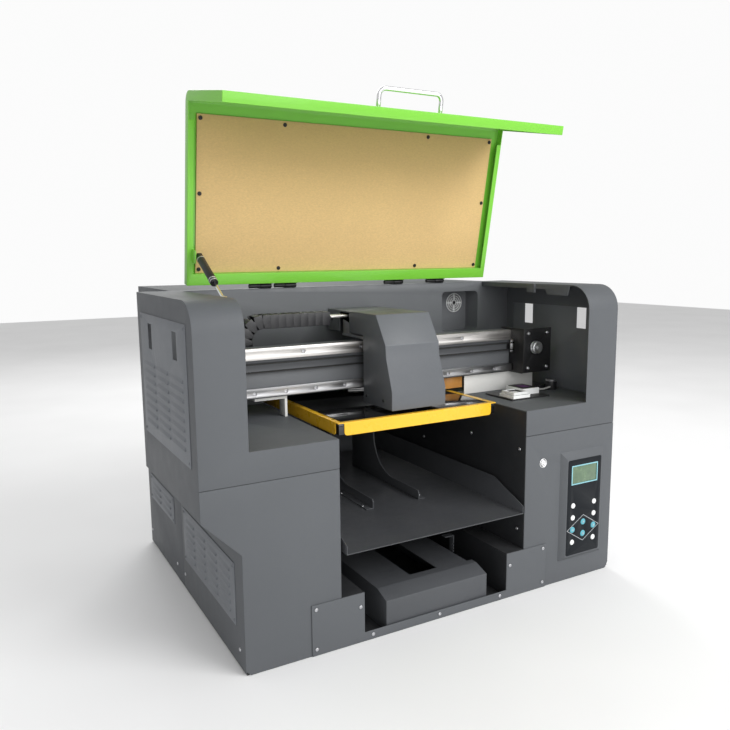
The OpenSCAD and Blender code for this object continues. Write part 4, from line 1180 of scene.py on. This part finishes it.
class UVPRINTER_OT_strut(bpy.types.Operator):
    """Gas strut: polished rod, crimped tube and the ball sockets at its ends"""
    bl_idname = "uvprinter.strut"
    bl_label = "Gas strut"

    def execute(self, context):
        joints = {j["name"]: j for j in frame["record"]["behaviour"]["joints"]}
        along = Vector(joints["strut_slide"]["axis"]).normalized()
        foot = Vector(joints["strut_pivot"]["pos_m"])
        finished_node("strut_rod", "chrome", 0.0003, 2, 60.0)
        collar = turned("collar", ((0.0034, 0), (0.0046, 0.0002), (0.0046, 0.0008),
                                   (0.0036, 0.001)), foot + along * 0.0066, along, 28)
        dress(collar, "strut_rod", "zinc")
        finished_node("strut_cylinder", "black", 0.0006, 3, 50.0)
        rings = [turned("crimp", ((0.0069, 0), (0.00735, 0.0006), (0.00735, 0.0024),
                                  (0.0069, 0.003)), foot + along * d, along, 36)
                 for d in (0.0595, 0.066, STRUT_TUBE - 0.013)]
        dress(join("strut_crimps", rings), "strut_cylinder", "zinc")
        return {"FINISHED"}


# ------------------------------------------------------------ keypad

class UVPRINTER_OT_keypad(bpy.types.Operator):
    """Keypad with a framed screen, a diamond line round the arrows and domed keys"""
    bl_idname = "uvprinter.keypad"
    bl_label = "Keypad"

    def execute(self, context):
        finished_node("keypad_bezel", "shell", 0.0008, 3)
        finished_node("keypad_panel", "panel", 0.0004)
        low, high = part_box("keypad_panel")
        x, front = (low[0] + high[0]) / 2, low[1]
        rim = []
        w, h, z = 0.0354, 0.0197, 0.2197
        for a, b in (((-w, h - 0.0024), (w, h)), ((-w, -h), (w, -h + 0.0024)),
                     ((-w, -h + 0.0024), (-w + 0.0024, h - 0.0024)),
                     ((w - 0.0024, -h + 0.0024), (w, h - 0.0024))):
            rim.append(block("rim", (x + a[0], front - 0.0006, z + a[1]),
                             (x + b[0], front + 0.0004, z + b[1]), 0.0003))
        dress(join("screen_frame", rim), "machine", "frame_blue")
        glass = block("screen", (x - 0.0328, front + 0.0004, z - 0.0173),
                      (x + 0.0328, front + 0.0016, z + 0.0173), 0.0003)
        dress(glass, "machine", "screen")
        lines = []
        wide, tall, mid = 0.0432, 0.0268, 0.107
        corners = [(x, mid + tall), (x + wide, mid), (x, mid - tall), (x - wide, mid)]
        for (ax, az), (bx, bz) in zip(corners, corners[1:] + corners[:1]):
            run = math.hypot(bx - ax, bz - az)
            bar = block("line", (0, -0.0002, -0.0005), (run, 0.0002, 0.0005), 0.0001, 1)
            turn = Matrix.Rotation(-math.atan2(bz - az, bx - ax), 4, "Y")
            lines.append(move(bar, Matrix.Translation((ax, front, az)) @ turn))
        dress(join("keypad_lines", lines), "machine", "line")
        for node in KEYS + ARROWS:
            low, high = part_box(node)
            radius = (high[0] - low[0]) / 2
            arrow = node in ARROWS
            deep = high[1] - low[1] - (0.0003 if arrow else 0.0)
            rings = [(radius * 0.98, 0), (radius, 0.0004), (radius, deep - 0.0014),
                     (radius * 0.95, deep - 0.0007), (radius * 0.84, deep - 0.0002),
                     (radius * 0.6, deep), (radius * 0.5, deep - 0.0001)]
            key = turned(node + "_cap", rings, ((low[0] + high[0]) / 2, high[1],
                                                (low[2] + high[2]) / 2), (0, -1, 0), 40)
            dress(key, node, "blue" if arrow else "white",
                  50.0, (node,))
            if arrow:
                self.mark(node, low, high)
        return {"FINISHED"}

    def mark(self, node, low, high):
        """A plain triangle on an arrow key, pointing the key's way."""
        angle = {"arrow_up": 0, "arrow_left": -90, "arrow_down": 180,
                 "arrow_right": 90}[node]
        tri = turned("tri", ((0.0028, 0), (0.0028, 0.0003)), (0, 0, 0), (0, -1, 0), 3)
        box_mid = sum((v.co for v in tri.data.vertices), Vector()) / len(tri.data.vertices)
        top = max(tri.data.vertices, key=lambda v: v.co.z).co
        lean = math.atan2(top.x - box_mid.x, top.z - box_mid.z)
        move(tri, Matrix.Rotation(math.radians(angle) - lean, 4, "Y"))
        place = ((low[0] + high[0]) / 2, low[1] + 0.0003, (low[2] + high[2]) / 2)
        move(tri, Matrix.Translation(place))
        dress(tri, node, "line")


class UVPRINTER_OT_button(bpy.types.Operator):
    """Chrome power button with its collar"""
    bl_idname = "uvprinter.button"
    bl_label = "Power button"

    def execute(self, context):
        low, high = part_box("power_button")
        x, _, z = middle(low, high)
        deep = high[1] - low[1]
        cap = turned("power_cap", ((0.0063, 0), (0.0065, 0.0005), (0.0065, deep - 0.0012),
                                   (0.006, deep - 0.0004), (0.0048, deep),
                                   (0.0042, deep), (0.0036, deep - 0.0006),
                                   (0.001, deep - 0.0008)), (x, high[1], z), (0, -1, 0), 48)
        dress(cap, "power_button", "chrome", 50.0, ("power_button",))
        ring = hoop("power_collar", (x, FRONT - 0.0002, z), (0, 1, 0), 0.0083, 0.0009)
        dress(ring, "machine", "chrome", 60)
        return {"FINISHED"}


# ------------------------------------------------------------ stage

class UVPRINTER_OT_stage(bpy.types.Operator):
    """Pale floor, soft studio lights and the camera"""
    bl_idname = "uvprinter.stage"
    bl_label = "Stage"

    def execute(self, context):
        stage = context.scene.printer_stage
        fresh()
        bpy.ops.mesh.primitive_plane_add(size=14, location=(0, 0, -0.0004))
        floor = settle(bpy.context.object, "pale_floor")
        mat, tree, shader = start_material("Pale floor")
        place = object_place(tree)
        tone = ramp(tree, noise(tree, place, 2.0, 2.0), 0.3, 0.7)
        tree.links.new(mix_colour(tree, tone, (0.86, 0.86, 0.86), (0.9, 0.9, 0.9)),
                       shader.inputs["Base Color"])
        shader.inputs["Roughness"].default_value = 0.75
        floor.data.materials.append(mat)
        self.light("key_light", (1.5, -2.7, 2.4), (0, 0, 0.35), 2.0, stage.key_light)
        self.light("fill_light", (-0.4, -3.0, 1.2), (0, 0, 0.4), 2.2, stage.fill_light)
        self.light("rim_light", (0.6, 2.4, 2.4), (0, 0, 0.45), 1.6, stage.fill_light)
        world = bpy.data.worlds.new("Even sky")
        world.use_nodes = True
        tree = world.node_tree
        sky = tree.nodes["Background"]
        sky.inputs["Color"].default_value = (1, 1, 1, 1)
        seen = add(tree, "ShaderNodeLightPath").outputs["Is Camera Ray"]
        tree.links.new(ramp(tree, seen, 0.0, 1.0, stage.sky, stage.backdrop),
                       sky.inputs["Strength"])
        context.scene.world = world
        data = bpy.data.cameras.new("camera")
        data.lens = stage.lens
        data.sensor_width = 36
        data.clip_start = 0.05
        camera = bpy.data.objects.new("camera", data)
        turn = (Matrix.Rotation(math.radians(CAMERA_YAW), 4, "Z")
                @ Matrix.Rotation(math.radians(CAMERA_PITCH), 4, "X")
                @ Matrix.Rotation(math.radians(CAMERA_ROLL), 4, "Z"))
        camera.matrix_world = Matrix.Translation(CAMERA_PLACE) @ turn
        bpy.context.collection.objects.link(camera)
        context.scene.camera = camera
        context.scene.view_settings.view_transform = "Standard"
        return {"FINISHED"}

    def light(self, name, place, target, size, power):
        data = bpy.data.lights.new(name, "AREA")
        data.energy = power
        data.shape = "SQUARE"
        data.size = size
        obj = bpy.data.objects.new(name, data)
        obj.location = place
        aim = Vector(target) - Vector(place)
        obj.rotation_euler = aim.to_track_quat("-Z", "Y").to_euler()
        bpy.context.collection.objects.link(obj)


# ------------------------------------------------------------ panel and registration

STEPS = (UVPRINTER_OT_stage, UVPRINTER_OT_cabinet, UVPRINTER_OT_seams,
         UVPRINTER_OT_vents, UVPRINTER_OT_screws, UVPRINTER_OT_fan, UVPRINTER_OT_inlet,
         UVPRINTER_OT_beam, UVPRINTER_OT_belt, UVPRINTER_OT_pulleys,
         UVPRINTER_OT_carriage, UVPRINTER_OT_chain, UVPRINTER_OT_capping,
         UVPRINTER_OT_table, UVPRINTER_OT_lid, UVPRINTER_OT_strut, UVPRINTER_OT_keypad,
         UVPRINTER_OT_button)


class UVPRINTER_PT_panel(bpy.types.Panel):
    """Lists the pieces of the printer, its sizes and its colours"""
    bl_label = "UV Printer"
    bl_idname = "UVPRINTER_PT_panel"
    bl_space_type = "VIEW_3D"
    bl_region_type = "UI"
    bl_category = "UV Printer"

    def draw(self, context):
        layout = self.layout
        for owner in (context.scene.printer_sizes, context.scene.printer_colours,
                      context.scene.printer_stage):
            column = layout.column(align=True)
            for key in owner.bl_rna.properties.keys():
                if key not in ("rna_type", "name"):
                    column.prop(owner, key)
        for step in STEPS:
            layout.operator(step.bl_idname)


CLASSES = (PrinterSizes, PrinterColours, PrinterStage, *STEPS, UVPRINTER_PT_panel)


def register():
    for cls in CLASSES:
        bpy.utils.register_class(cls)
    bpy.types.Scene.printer_sizes = bpy.props.PointerProperty(type=PrinterSizes)
    bpy.types.Scene.printer_colours = bpy.props.PointerProperty(type=PrinterColours)
    bpy.types.Scene.printer_stage = bpy.props.PointerProperty(type=PrinterStage)


def unregister():
    del bpy.types.Scene.printer_stage
    del bpy.types.Scene.printer_colours
    del bpy.types.Scene.printer_sizes
    for cls in reversed(CLASSES):
        bpy.utils.unregister_class(cls)


def main():
    register()
    make_materials()
    for step in STEPS:
        family, name = step.bl_idname.split(".")
        getattr(getattr(bpy.ops, family), name)()
    fresh()


if __name__ == "__main__":
    main()
